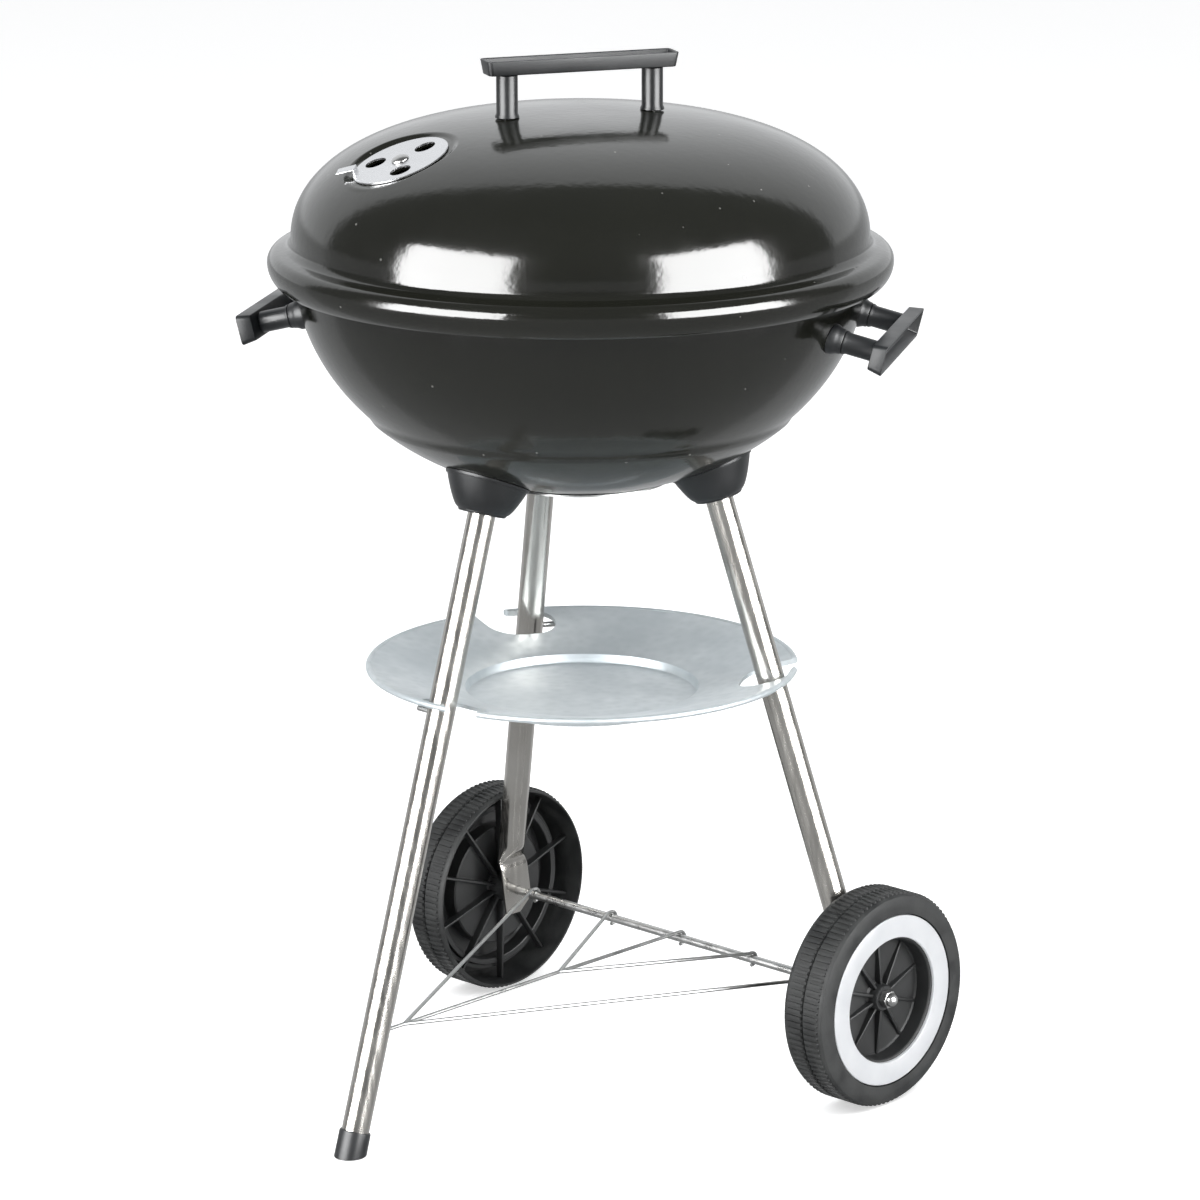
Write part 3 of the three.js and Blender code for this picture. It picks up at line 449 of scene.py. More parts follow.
def ring_tube(heights, point_at, sides=64):
    """A closed tube built up from rings at given heights, each shaped by point_at(height, turn)."""
    bm = bmesh.new()
    column = [bm.verts.new((1, 0, level)) for level in range(len(heights))]
    edges = [bm.edges.new(pair) for pair in zip(column, column[1:])]
    bmesh.ops.spin(bm, geom=column + edges, cent=(0, 0, 0), axis=(0, 0, 1), angle=2 * math.pi,
                   steps=sides, use_merge=True)
    for vert in bm.verts:
        vert.co = point_at(heights[round(vert.co.z)], math.atan2(vert.co.y, vert.co.x))
    rim = [edge for edge in bm.edges if edge.is_boundary]
    bmesh.ops.holes_fill(bm, edges=rim, sides=0)
    bmesh.ops.recalc_face_normals(bm, faces=bm.faces)
    return bm


def wheel_leg_point(leg, radius):
    """The skin of a wheel leg: round above the bend, then eased into a flat upright tab at the axle."""
    degrees, low_radius, low_z = leg_low[leg]
    facing = math.radians(degrees)
    tilt = math.hypot(1, (low_radius - leg_top_radius) / (leg_top_z - low_z))

    def at(z, turn):
        axis = leg_point(leg, z)
        flat = 1 - eased(bend_z, bend_z + flattening, z)
        bent = 1 - eased(bend_z - 4, bend_z + 8, z)
        tab_middle = Vector((math.copysign(tab_x, axis.x), axis.y, z))
        centre = Vector((axis.x, axis.y, z)).lerp(tab_middle, bent)
        outward = polar(facing, radius * tilt * math.cos(turn), 0)
        skin = outward + polar(facing + math.pi / 2, radius * math.sin(turn), 0)
        c, s = math.cos(turn + facing), math.sin(turn + facing)
        thick, wide = tab_half[0] * abs(c) ** 0.35, tab_half[1] * abs(s) ** 0.75
        pressed = Vector((math.copysign(thick, c), math.copysign(wide, s), 0))
        return centre + skin.lerp(pressed, flat)

    return at


for leg in ("right", "left"):
    tab_heights = [59 + 2 * i for i in range(16)]
    bend_heights = [bend_z - 3 + i for i in range(22)]
    heights = tab_heights + bend_heights + [120 + 20 * i for i in range(16)] + [leg_top_z]
    solid = ring_tube(heights, wheel_leg_point(leg, tube_radius))
    hole = Matrix.Translation((0, axle_y, axle_z)) @ Matrix.Rotation(math.pi / 2, 4, "Y")
    solid = carved(solid, put(upright(3.3, -230, 230, 40), hole))
    clip = Matrix.Rotation(math.radians(40), 4, "X")
    corner = Matrix.Translation((math.copysign(tab_x, leg_point(leg, 0).x), 110, 66))
    solid = carved(solid, put(block(60, 40, 14, 0, 0, -7), corner @ clip))
    piece(f"leg_tube_{leg}", solid, tube_finish(f"polished_tube_{leg}", leg), "stand_and_bowl",
          [f"leg_{leg}"])

front_place = leg_place("front", 0)
stretch = (leg_point("front", 100) - leg_point("front", 0)).length / 100
low, high = 5 * stretch, leg_top_z * stretch
tube_bore = tube_radius - tube_wall
front_tube = spun([(tube_radius, low), (tube_radius, high), (tube_bore, high), (tube_bore, low)], 64)
axle_radius, wire_radius, wire_gap = 3.0, 1.3, 0.3
brace_z = axle_z + axle_radius + wire_radius + wire_gap
hole_place = Matrix.Translation(leg_point("front", brace_z)) @ Matrix.Rotation(-math.pi / 2, 4, "X")
front_hole = put(upright(wire_radius + wire_gap, 0, 40, 20), hole_place)
front_tube = carved(put(front_tube, front_place), front_hole)
piece("leg_tube_front", front_tube, tube_finish("polished_tube_front", "front"), "stand_and_bowl",
      ["leg_front"])

cap_floor = low - 0.3
cap_radius, cap_bore, cap_top = 10.85, 9.8, 17
cap_lip = [(cap_radius, 15.6), (cap_radius - 0.2, 16.6), (cap_radius - 0.65, cap_top),
           (cap_bore, cap_top)]
cap = spun([(0, -6), (cap_radius, -6)] + cap_lip + [(cap_bore, cap_floor), (0, cap_floor)], 64)
below_floor = block(80, 80, 40, leg_point("front", 0).x, leg_point("front", 0).y, -20)
cap = carved(put(cap, front_place), below_floor)
piece("foot_cap", cap, black_plastic, "stand_and_bowl", ["foot_cap"])


# ---- axle, washers and nuts ----
# A plain 6 mm steel rod right through both flattened legs and both wheels, with a washer between
# each leg and wheel and a chromed nut on each end.
axle_place = Matrix.Translation((0, axle_y, axle_z))
sideways = Matrix.Rotation(math.pi / 2, 4, "Y")
wheel_mid = 184.5
half_axle, end_bevel = 199.5, 0.4
rod_end = [(axle_radius, half_axle - end_bevel), (axle_radius - end_bevel, half_axle), (0, half_axle)]
rod = spun([(r, -z) for r, z in rod_end[::-1]] + rod_end, 40)
piece("axle_rod", put(rod, axle_place @ sideways), plated, "stand_and_bowl", ["axle"])
wheel_places = {
    "right": placed(Vector((wheel_mid, axle_y, axle_z)), Vector((1, 0, 0)), Vector((0, 0, 1))),
    "left": placed(Vector((-wheel_mid, axle_y, axle_z)), Vector((-1, 0, 0)), Vector((0, 0, 1))),
}
for side, wheel_place in wheel_places.items():
    hexagon = bmesh.new()
    bmesh.ops.create_cone(hexagon, cap_ends=True, segments=6, radius1=6.5, radius2=6.5, depth=5,
                          matrix=Matrix.Translation((0, 0, 2.5)))
    rounded(hexagon, list(hexagon.edges), 0.35, 2)
    crown = spun([(0, 4), (5, 4)] + arc(0, 5, 5, 0, 80, 8) + [(0, 9.9)], 40)
    bore = upright(3.3, -1, 5, 24)
    nut = carved(carved(hexagon, crown, "UNION"), bore)
    nut = put(nut, wheel_place @ Matrix.Translation((0, 0, 10.3)))
    piece(f"axle_nut_{side}", nut, plated, "stand_and_bowl", [f"axle_nut_{side}"])
    ring = spun([(3.3, 0), (8.8, 0), (9, 0.2), (9, 1.2), (8.8, 1.4), (3.3, 1.4)], 40)
    ring = put(ring, wheel_place @ Matrix.Translation((0, 0, -18.9)))
    piece(f"axle_washer_{side}", ring, plated, "stand_and_bowl",
          [f"axle_washer_{side}"])


# ---- wheels ----
# Hard moulded wheels, 152 mm across: a dull charcoal tyre with two rows of short tread blocks, a black
# dished body with ten ribs round the hub, and a white trim ring pressed into the outer face.
wheel_radius, tread_floor = 76.0, 74.7
tread_blocks, tread_height = 104, 1.3
rib_count = 10


def tyre_finish(name):
    """Hard tyre: dull charcoal, greyer where it is scuffed and dusty, with a coarse open grain."""
    material, tree, shader, where = finish_of(name, (0.02, 0.022, 0.022), 0, 0.66,
                                              Specular_IOR_Level=0.3)
    dust, grain = noise(tree, where, 60, 6), noise(tree, where, 340, 3)
    tree.links.new(blended(tree, ranged(tree, dust, 0.35, 0.75, 0, 1), (0.011, 0.012, 0.0125),
                           (0.034, 0.036, 0.0355)),
                   shader.inputs["Base Color"])
    tree.links.new(ranged(tree, dust, 0.3, 0.7, 0.52, 0.78), shader.inputs["Roughness"])
    raised(tree, shader, (grain, 0.3, 0.0005), (dust, 0.2, 0.001))
    return material


def trim_finish(name):
    """Smooth white plastic with faint clouding and a slightly uneven moulded skin."""
    material, tree, shader, where = finish_of(name, (0.62, 0.63, 0.65), 0, 0.4)
    clouds = noise(tree, where, 55, 5)
    tree.links.new(blended(tree, clouds, (0.56, 0.575, 0.60), (0.68, 0.69, 0.705)),
                   shader.inputs["Base Color"])
    tree.links.new(ranged(tree, clouds, 0.3, 0.7, 0.32, 0.5), shader.inputs["Roughness"])
    raised(tree, shader, (clouds, 0.12, 0.0008))
    return material


def tyre():
    """The tyre, turned in one step per block and gap; every other step is drawn out as a block."""
    half_tread = [(tread_floor - 1, 0.9), (tread_floor, 1.1), (tread_floor, 13.6), (tread_floor, 14.6)]
    tread = [(r, -z) for r, z in half_tread[::-1]] + half_tread
    outer_wall = [(73.6, 16.4), (71, 17.3), (66, 17.5), (61.4, 17.2)]
    hollow = [(61.4, 2), (64.4, 2), (64.4, 13.8), (65, 14.5), (69.5, 14.5), (71.8, 12.6), (72.5, 11)]
    outline = hollow + [(72.5, -17.1), (72.9, -17.5), (73.8, -17.3), (74.3, -16.6)] + tread + outer_wall
    bm = spun(outline, tread_blocks * 2)
    bands = []
    for face in bm.faces:
        level = all(abs(math.hypot(v.co.x, v.co.y) - tread_floor) < 0.05 for v in face.verts)
        if level and 1 < abs(face.calc_center_median().z) < 13.6:
            bands.append(face)
    step = math.pi / tread_blocks
    first_row, second_row = [], []
    for face in bands:
        middle = face.calc_center_median()
        index = int(math.floor(math.atan2(middle.y, middle.x) / step + 0.001)) % 2
        if middle.z > 0 and index == 0:
            first_row.append(face)
        if middle.z < 0 and index == 1:
            second_row.append(face)
    drawn = bmesh.ops.extrude_discrete_faces(bm, faces=first_row + second_row)["faces"]
    for face in drawn:
        middle = face.calc_center_median()
        for vert in face.verts:
            flat = Vector((vert.co.x, vert.co.y, 0))
            vert.co += flat.normalized() * tread_height
            vert.co.z += (middle.z - vert.co.z) * 0.05
            vert.co.xy = vert.co.xy.lerp(middle.xy, 0.12)
    longest = max(math.hypot(v.co.x, v.co.y) for v in bm.verts)
    for vert in bm.verts:
        if math.hypot(vert.co.x, vert.co.y) > 75:
            vert.co.xy = vert.co.xy * (wheel_radius / longest)
    return bm


def wheel_body():
    """Barrel, trim seat, dished web, hub boss and the ten ribs."""
    outline = [(3.5, -17.2), (9.6, -17.2), (10, -16.8), (10, -2), (11, -1), (43.5, -1), (44.5, 0),
               (44.5, 10.5), (45.5, 11.5),
               (56, 11.5), (57, 10.5), (57, -0.6), (57.6, -1), (60.6, -1), (61, -0.6), (61, 14.5),
               (44.3, 14.5),
               (43.4, 14.2), (42.8, 13.4), (42.2, 3.2), (41.2, 2.2), (11.4, 2), (10, 3.4), (9.2, 9.2),
               (8.6, 10), (3.5, 10)]
    ribs = []
    for i in range(rib_count):
        turn = Matrix.Rotation(i * 2 * math.pi / rib_count, 4, "Z")
        rib = block(33.4, 2.2, 6, 25.6, 0, 4.2, 0.6)
        for vert in rib.verts:
            if vert.co.z > 4:
                vert.co.z -= 3.4 * eased(14, 43, vert.co.x)
        ribs.append(put(rib, turn))
        back = block(63.1, 1.8, 8, 40.55, 0, -4, 0.5)
        for vert in back.verts:
            if vert.co.z < -4:
                vert.co.z += 2.5 * eased(30, 72, vert.co.x)
        ribs.append(put(back, turn))
    return together(spun(outline, 120), *ribs)


tyre_rubber = tyre_finish("tyre")
hub_plastic = moulded_finish("hub_plastic", (0.014, 0.015, 0.0155), 0.5, 300, 0.22)
white_plastic = trim_finish("white_trim")
for side, wheel_place in wheel_places.items():
    body = f"wheel_{side}"
    piece(f"tyre_{side}", put(tyre(), wheel_place), tyre_rubber, body,
          [f"wheel_tyre_{side}"])
    piece(f"wheel_centre_{side}", put(wheel_body(), wheel_place), hub_plastic, body,
          [f"wheel_body_{side}"])
    rim = spun([(44.6, 14.8), (60.6, 14.8), (60.6, 16.1), (60.3, 16.7), (59.6, 17),
                (45.7, 17), (44.9, 16.7), (44.6, 16.1)], 160)
    piece(f"trim_ring_{side}", put(rim, wheel_place), white_plastic, body,
          [f"wheel_trim_ring_{side}"])


# ---- wire brace ----
# One spot-welded frame of 2.6 mm plated wire that ties the legs together: a long narrow triangle whose
# five ends hook round the axle, with its nose plugged into a hole in the front leg.
def wire_finish(name):
    """Bright-plated wire with fine drawing marks and dull spots."""
    material, tree, shader, where = finish_of(name, (0.35, 0.355, 0.35), 1, 0.34)
    spots = noise(tree, where, 90, 4)
    tree.links.new(blended(tree, spots, (0.27, 0.275, 0.27), (0.42, 0.425, 0.42)),
                   shader.inputs["Base Color"])
    tree.links.new(ranged(tree, spots, 0.3, 0.7, 0.3, 0.42), shader.inputs["Roughness"])
    raised(tree, shader, (spots, 0.04, 0.0003))
    return material


def wire(points, radius, smooth=False, rings=3):
    """A round wire with closed ends along a list of points."""
    curve = bpy.data.curves.new("wire", "CURVE")
    curve.dimensions, curve.use_fill_caps = "3D", True
    curve.bevel_depth, curve.bevel_resolution = radius, rings
    spline = curve.splines.new("NURBS" if smooth else "POLY")
    spline.points.add(len(points) - 1)
    for spot, point in zip(spline.points, points):
        spot.co = (*point, 1)
    if smooth:
        spline.order_u, spline.use_endpoint_u, spline.resolution_u = 4, True, 6
    holder = bpy.data.objects.new("wire", curve)
    bpy.context.scene.collection.objects.link(holder)
    graph = bpy.context.evaluated_depsgraph_get()
    bm = bmesh.new()
    bm.from_mesh(holder.evaluated_get(graph).to_mesh())
    bpy.data.objects.remove(holder)
    bpy.data.curves.remove(curve)
    bmesh.ops.remove_doubles(bm, verts=bm.verts, dist=1e-5)
    return bm


plated_wire = wire_finish("plated_wire")
nose, fork = (0, -176, brace_z), (0, -24, brace_z)
hook_reach = axle_radius + wire_radius + wire_gap
tip = (0, leg_point("front", brace_z).y + 3, brace_z)
brace_wires = [wire([nose, fork], wire_radius), wire([tip, nose], wire_radius)]
for i, x in enumerate((-145, -67, 1, 70, 145)):
    start = nose if i in (0, 4) else fork
    hook = [(x, y, z) for y, z in arc(axle_y, axle_z, hook_reach, 92, -95, 12)]
    brace_wires.append(wire([start, (x, axle_y - axle_radius, brace_z)] + hook, wire_radius))
piece("brace_frame", together(*brace_wires), plated_wire, "stand_and_bowl", ["wire_brace"])


# ---- ash tray and its pins ----
# A round galvanised dish, 300 mm across, pressed with a flat round well and a rolled rim. Three open
# slots let it be twisted on and off the legs, where it sits on short pins beside the slots' ends.
tray_radius, tray_rim_z, slot_half, slot_end = 150.0, 300.0, 11.2, 17.0


def galvanised_finish(name):
    """Hot-dip zinc on sheet: pale blue-grey, softly mottled with faint crystal patches and run marks."""
    material, tree, shader, where = finish_of(name, (0.50, 0.54, 0.56), 0.45, 0.46)
    crystals = tree.nodes.new("ShaderNodeTexVoronoi")
    crystals.feature = "SMOOTH_F1"
    crystals.inputs["Scale"].default_value = 150
    tree.links.new(where.outputs["Object"], crystals.inputs["Vector"])
    clouds = noise(tree, where, 14, 6)
    base = blended(tree, ranged(tree, crystals.outputs["Distance"], 0.1, 0.75, 0, 1),
                   (0.47, 0.515, 0.535), (0.56, 0.60, 0.62))
    mix = tree.nodes.new("ShaderNodeMix")
    mix.data_type = "RGBA"
    mix.inputs["B"].default_value = (0.40, 0.445, 0.47, 1)
    tree.links.new(ranged(tree, clouds, 0.42, 0.68, 0, 0.75), mix.inputs["Factor"])
    tree.links.new(base, mix.inputs["A"])
    tree.links.new(mix.outputs["Result"], shader.inputs["Base Color"])
    tree.links.new(ranged(tree, clouds, 0.3, 0.7, 0.38, 0.54), shader.inputs["Roughness"])
    raised(tree, shader, (crystals.outputs["Distance"], 0.1, 0.0006), (clouds, 0.2, 0.002))
    return material


def plate(outline, low, high):
    """A flat outline of (x, y) points raised into a solid."""
    bm = bmesh.new()
    face = bm.faces.new([bm.verts.new((x, y, low)) for x, y in outline])
    top = bmesh.ops.extrude_face_region(bm, geom=[face])["geom"]
    bmesh.ops.translate(bm, verts=[v for v in top if isinstance(v, bmesh.types.BMVert)],
                        vec=(0, 0, high - low))
    bmesh.ops.recalc_face_normals(bm, faces=bm.faces)
    return bm


def tray_cutters(leg):
    """One slot: a round end that clears the leg, a lead behind the rim, and a bite that opens it."""
    facing = math.radians(leg_low[leg][0])
    middle = leg_point(leg, tray_rim_z - 4)
    outer = math.hypot(middle.x, middle.y) + slot_half
    inner, beyond = outer - 2 * slot_end, tray_radius + 20
    outline = [(inner, 0), (inner, 2), (inner, 4), (inner + 0.3, 6), (inner + 1.2, 8),
               (inner + 2.4, 9.5), (inner + 4, 11)]
    outline += [(inner + 6.3, 12.4), (inner + 9, 13.5), (inner + 12, 14.4), (inner + 16, 15),
                (inner + 22, 15.3), (outer, 15.6)]
    outline += [(beyond, 16), (beyond, 6), (outer + 3, 6), (outer + 1.2, 5.8), (outer + 0.2, 5),
                (outer, 3.6), (outer, 0)]
    turned = [(r * math.cos(facing + math.radians(d)), r * math.sin(facing + math.radians(d)))
              for r, d in outline]
    end = polar(facing, outer - slot_end, 0)
    return put(upright(slot_end, 258, 322, 56), Matrix.Translation(end)), plate(turned, 260, 320)


galvanised = galvanised_finish("galvanised_sheet")
tray_rim = arc(tray_radius - 2.2, tray_rim_z + 0.4, 2.2, -60, 150, 16)
tray_under = [(0, 277), (78.4, 277), (80, 277.3), (81.2, 278.3), (81.8, 280), (82.5, 284)]
tray_over = [(82.6, 285.5), (81.2, 284.6), (80.6, 282), (80.2, 280), (79.4, 278.9), (77.8, 278.4),
             (0, 278.4)]
tray = spun(tray_under + tray_rim + tray_over, 192)
for leg in leg_low:
    for cutter in tray_cutters(leg):
        tray = carved(tray, cutter)
piece("ash_dish", tray, galvanised, "ash_tray", ["ash_tray"])
for leg in leg_low:
    pin_place = placed(leg_point(leg, 292.4), polar(math.radians(leg_low[leg][0] - 90), 1, 0),
                       Vector((0, 0, 1)))
    pin = spun([(0, 10), (2, 10), (2, 21.1), (1.6, 21.5), (0, 21.5)], 24)
    piece(f"rest_pin_{leg}", put(pin, pin_place), plated, "stand_and_bowl",
          [f"tray_pin_{leg}"])


# ---- grids and their brackets ----
# Inside the bowl: three bent steel brackets, a charcoal grate of heavier wire low down, and a
# cooking grid of straight rods welded to a ring, just under the rim.
def grid(ring_radius, ring_wire, rod_wire, spacing, cross_at):
    """A ring with parallel rods over it and two cross wires under them."""
    turns = [2 * math.pi * i / 10 for i in range(10)]
    section = [(ring_radius + ring_wire * math.cos(t), ring_wire * math.sin(t)) for t in turns]
    parts = [spun(section + section[:1], 120)]
    count = int((ring_radius - 6) // spacing)
    for i in range(-count, count + 1):
        half = math.sqrt(ring_radius ** 2 - (i * spacing) ** 2)
        parts.append(wire([(i * spacing, -half, 0), (i * spacing, half, 0)], rod_wire, rings=2))
    for y in cross_at:
        half = math.sqrt(ring_radius ** 2 - y ** 2)
        parts.append(wire([(-half, y, -rod_wire * 1.4), (half, y, -rod_wire * 1.4)], rod_wire, rings=2))
    return together(*parts)


def bracket(index):
    turn = Matrix.Rotation(index * 2 * math.pi / 3, 4, "Z")
    shelf = block(22, 16, 1.8, 186, 0, 561.8, 0.4)
    web = block(2.2, 16, 20, 186.5, 0, 552.8, 0.4)
    return put(carved(carved(shelf, web, "UNION"), filled_bowl(-1.8), "INTERSECT"), turn)


for name, z, body, made in (
    ("charcoal_wires", 497, "charcoal_grate", grid(150, 3, 2.6, 30, (-75, 75))),
    ("cooking_wires", 566, "cooking_grid", grid(183, 2.8, 2, 22, (-90, 90))),
):
    piece(name, put(made, Matrix.Translation((0, 0, z))), plated_wire, body, [body])
for index in range(3):
    piece(f"shelf_bracket_{index + 1}", bracket(index), sheet_steel, "stand_and_bowl",
          [f"grid_bracket_{index + 1}"])


# ---- handle kit: bar, posts, collars ----
# The lid and both sides of the bowl wear the same moulded handle: a shallow channel bar, open away
# from the kettle, screwed on two round posts. At the bowl each post stands on a flared collar.
bar_length, bar_width, bar_depth = 136.0, 21.0, 10.0
post_radius, post_length = 7.3, 30.0


def handle_bar():
    """A block with rounded ends, slightly wider at its mouth, hollowed to a channel."""
    bm = block(bar_length, bar_width, bar_depth, 0, 0, bar_depth / 2)
    for vert in bm.verts:
        if vert.co.z < 1:
            vert.co.x -= math.copysign(1.6, vert.co.x)
            vert.co.y -= math.copysign(1.6, vert.co.y)
    corners = [e for e in bm.edges if abs(e.verts[0].co.z - e.verts[1].co.z) > 5]
    rounded(bm, corners, 3.2, 6)
    mouth = max(bm.faces, key=lambda face: face.calc_center_median().z)
    bmesh.ops.inset_region(bm, faces=[mouth], thickness=2.2, use_even_offset=True)
    sunk = bmesh.ops.extrude_discrete_faces(bm, faces=[mouth])["faces"]
    bmesh.ops.translate(bm, verts=list(sunk[0].verts), vec=(0, 0, 3 - bar_depth))
    bmesh.ops.scale(bm, verts=list(sunk[0].verts),
                    vec=((bar_length - 7.6) / (bar_length - 4.4), 0.84, 1))
    rims = [e for e in bm.edges if len(e.link_faces) == 2 and e.calc_face_angle() > math.radians(50)]
    rounded(bm, rims, 0.55)
    return bm


def post(low):
    """A round post, a little wider at its foot, drilled for its screw."""
    high = post_length - 0.3
    foot = [(2.8, low), (post_radius + 0.6, low), (post_radius + 1, low + 0.5),
            (post_radius + 0.8, low + 1.4)]
    stem = [(post_radius, low + 3), (post_radius, high - 0.6), (post_radius - 0.6, high), (0, high)]
    return spun(foot + stem + [(0, 20), (2.8, 20)], 64)


side_z, side_slope, side_offset, collar_length = 548.0, math.radians(14), 46.0, 8.0
for side, facing in (("right", math.radians(30)), ("left", math.radians(210))):
    widest = bowl_radius * math.sqrt(1 - ((side_z - bowl_equator) / bowl_depth) ** 2)
    outward = polar(facing, math.cos(side_slope), -math.sin(side_slope))
    between_posts = math.sqrt(widest ** 2 - side_offset ** 2)
    root = placed(polar(facing, between_posts, side_z), outward, polar(facing + math.pi / 2, 1, 0))
    grip = put(handle_bar(), root @ Matrix.Translation((0, 0, post_length)))
    piece(f"side_grip_{side}", grip, black_plastic, "stand_and_bowl",
          [f"side_handle_bar_{side}"])
    for end, x in (("front", -side_offset), ("back", side_offset)):
        spot = root @ Matrix.Translation((x, 0, 0))
        flare = spun([(2.8, -14), (10.6, -14), (10.5, 1.5), (9.7, 3.2), (8.9, 5), (8.6, 7.1),
                      (8.2, 7.7), (2.8, 7.7)], 64)
        flare = carved(flare, put(filled_bowl(0.3), spot.inverted()))
        piece(f"side_foot_{side}_{end}", put(flare, spot), black_plastic, "stand_and_bowl",
              [f"side_handle_collar_{side}_{end}"])
        piece(f"side_stem_{side}_{end}", put(post(collar_length), spot), black_plastic,
              "stand_and_bowl",
              [f"side_handle_post_{side}_{end}"])
        piece(f"side_bolt_{side}_{end}", put(screw(-4.4, 19), spot), plated, "stand_and_bowl",
              [f"side_handle_screw_{side}_{end}"])


# ---- lid ----
# A second enamel drawing with a flat-topped dome and a steep wall. Its rim flares out over the bowl's
# bead and turns down into a short skirt; a round seat for the vent is pressed into the shoulder.
lid_radius, lid_wall_z, lid_rise = 196.8, 602.0, 84.0
lid_radial_power, lid_height_power = 2 / 2.67, 2 / 2.13
lid_handle_turn, lid_post_offset = math.radians(62.5), 51.7


def lid_outline(steps=72):
    """The outside of the lid, from its top pole out and down to the edge of the skirt."""
    dome = []
    for i in range(steps + 1):
        turn = math.pi / 2 * (1 - i / steps * 0.985)
        radius = 0 if i == 0 else lid_radius * math.cos(turn) ** lid_radial_power
        dome.append((radius, lid_wall_z + lid_rise * math.sin(turn) ** lid_height_power))
    fillet = arc(lid_radius + 6.3, lid_wall_z, 6.3, 188, 262, 10)
    return dome + fillet + arc(204.6, 586.5, 8.4, 78, 12, 10) + arc(195, 586.5, 18, 0, -50, 16)


def lid_height(radius):
    turn = math.acos(min(1, (radius / lid_radius) ** (1 / lid_radial_power)))
    return lid_wall_z + lid_rise * math.sin(turn) ** lid_height_power


def inset_outline(outline, distance):
    """An outline moved inwards by the thickness of the sheet."""
    moved = []
    for i, (r, z) in enumerate(outline):
        (r0, z0), (r1, z1) = outline[max(i - 1, 0)], outline[min(i + 1, len(outline) - 1)]
        length = math.hypot(r1 - r0, z1 - z0)
        if r < 1e-6:
            moved.append((0, z - distance))
        else:
            moved.append((r + (z1 - z0) / length * distance, z - (r1 - r0) / length * distance))
    return moved


vent_turn, vent_radius, seat_sag = math.radians(253), 138.0, 5.0
slope = (lid_height(vent_radius + 1) - lid_height(vent_radius - 1)) / 2
vent_normal = polar(vent_turn, -slope, 1).normalized()
vent_spot = polar(vent_turn, vent_radius, lid_height(vent_radius)) - vent_normal * seat_sag
vent_place = placed(vent_spot, vent_normal, polar(vent_turn, 1, 0))
outline = lid_outline()
lid_mesh = spun(outline + inset_outline(outline, sheet)[::-1], 256)
patch_radius = 47.0
lid_mesh = carved(lid_mesh, put(upright(patch_radius, -26, 30, 144), vent_place))
for x in (-lid_post_offset, lid_post_offset):
    spot = polar(lid_handle_turn, x, 0)
    lid_mesh = carved(lid_mesh, put(upright(2.8, 640, 700, 24), Matrix.Translation(spot)))


def seat_patch():
    """The part of the dome round the vent: a fine disc laid on the dome, with the seat pressed in."""
    wall_rings = [36 + 0.25 * i for i in range(25)]
    rings = [0, 14, 24, 30, 33, 34.5, 35.5] + wall_rings + [43, 44.5, 46, patch_radius]
    bm = bmesh.new()
    line = [bm.verts.new((r, 0, 0)) for r in rings]
    edges = [bm.edges.new(pair) for pair in zip(line, line[1:])]
    bmesh.ops.spin(bm, geom=line + edges, cent=(0, 0, 0), axis=(0, 0, 1), angle=2 * math.pi, steps=144,
                   use_merge=True)
    bmesh.ops.remove_doubles(bm, verts=bm.verts, dist=1e-4)
    for vert in bm.verts:
        low, high = -30.0, 30.0
        for _ in range(34):
            middle = (low + high) / 2
            spot = vent_place @ Vector((vert.co.x, vert.co.y, middle))
            inside = spot.z < lid_height(min(math.hypot(spot.x, spot.y), lid_radius))
            low, high = (middle, high) if inside else (low, middle)
        reach = math.hypot(vert.co.x, vert.co.y)
        vert.co.z = low * eased(36.2, 41.8, reach)
    bmesh.ops.recalc_face_normals(bm, faces=bm.faces)
    if sum(face.normal.z for face in bm.faces) < 0:
        bmesh.ops.reverse_faces(bm, faces=bm.faces)
    bmesh.ops.solidify(bm, geom=list(bm.faces), thickness=sheet)
    return bm


vent_hole_radius, vent_hole_offset, vent_phase = 7.3, 20.0, math.radians(61)
vent_drill = (vent_hole_radius, vent_hole_offset, vent_phase, -6, 5)
patch = carved(seat_patch(), three_holes(*vent_drill))
patch = carved(patch, upright(3.3, -6, 5, 24))
piece("enamel_lid", together(lid_mesh, put(patch, vent_place)), enamel, "lid", ["lid_shell"])


# ---- lid vent ----
# A satin steel disc with three round holes and a bent finger tab turns on one rivet in its seat, over
# three matching holes in the lid.
vent_steel = sheet_steel_finish("vent_steel", (0.66, 0.665, 0.68), 0.27)
disc = spun([(0, 0.3), (33.3, 0.3), (33.5, 0.5), (33.5, 1.2), (33.2, 1.5), (0, 1.5)], 144)
riser = block(1.3, 9, 4.2, 32.5, 0, 2.4, 0.3)
tab = block(13, 9, 1.1, 38.2, 0, 3.9, 0.35)
finger = put(together(riser, tab), Matrix.Rotation(math.radians(-41), 4, "Z"))
disc = carved(carved(disc, three_holes(*vent_drill)), upright(3.3, -5, 5, 24))
piece("vent_disc", put(together(disc, finger), vent_place), vent_steel, "lid_damper",
      ["lid_damper"])
piece("vent_rivet", put(rivet(6, -1.8, 1.8), vent_place), plated, "lid",
      ["lid_damper_rivet"])


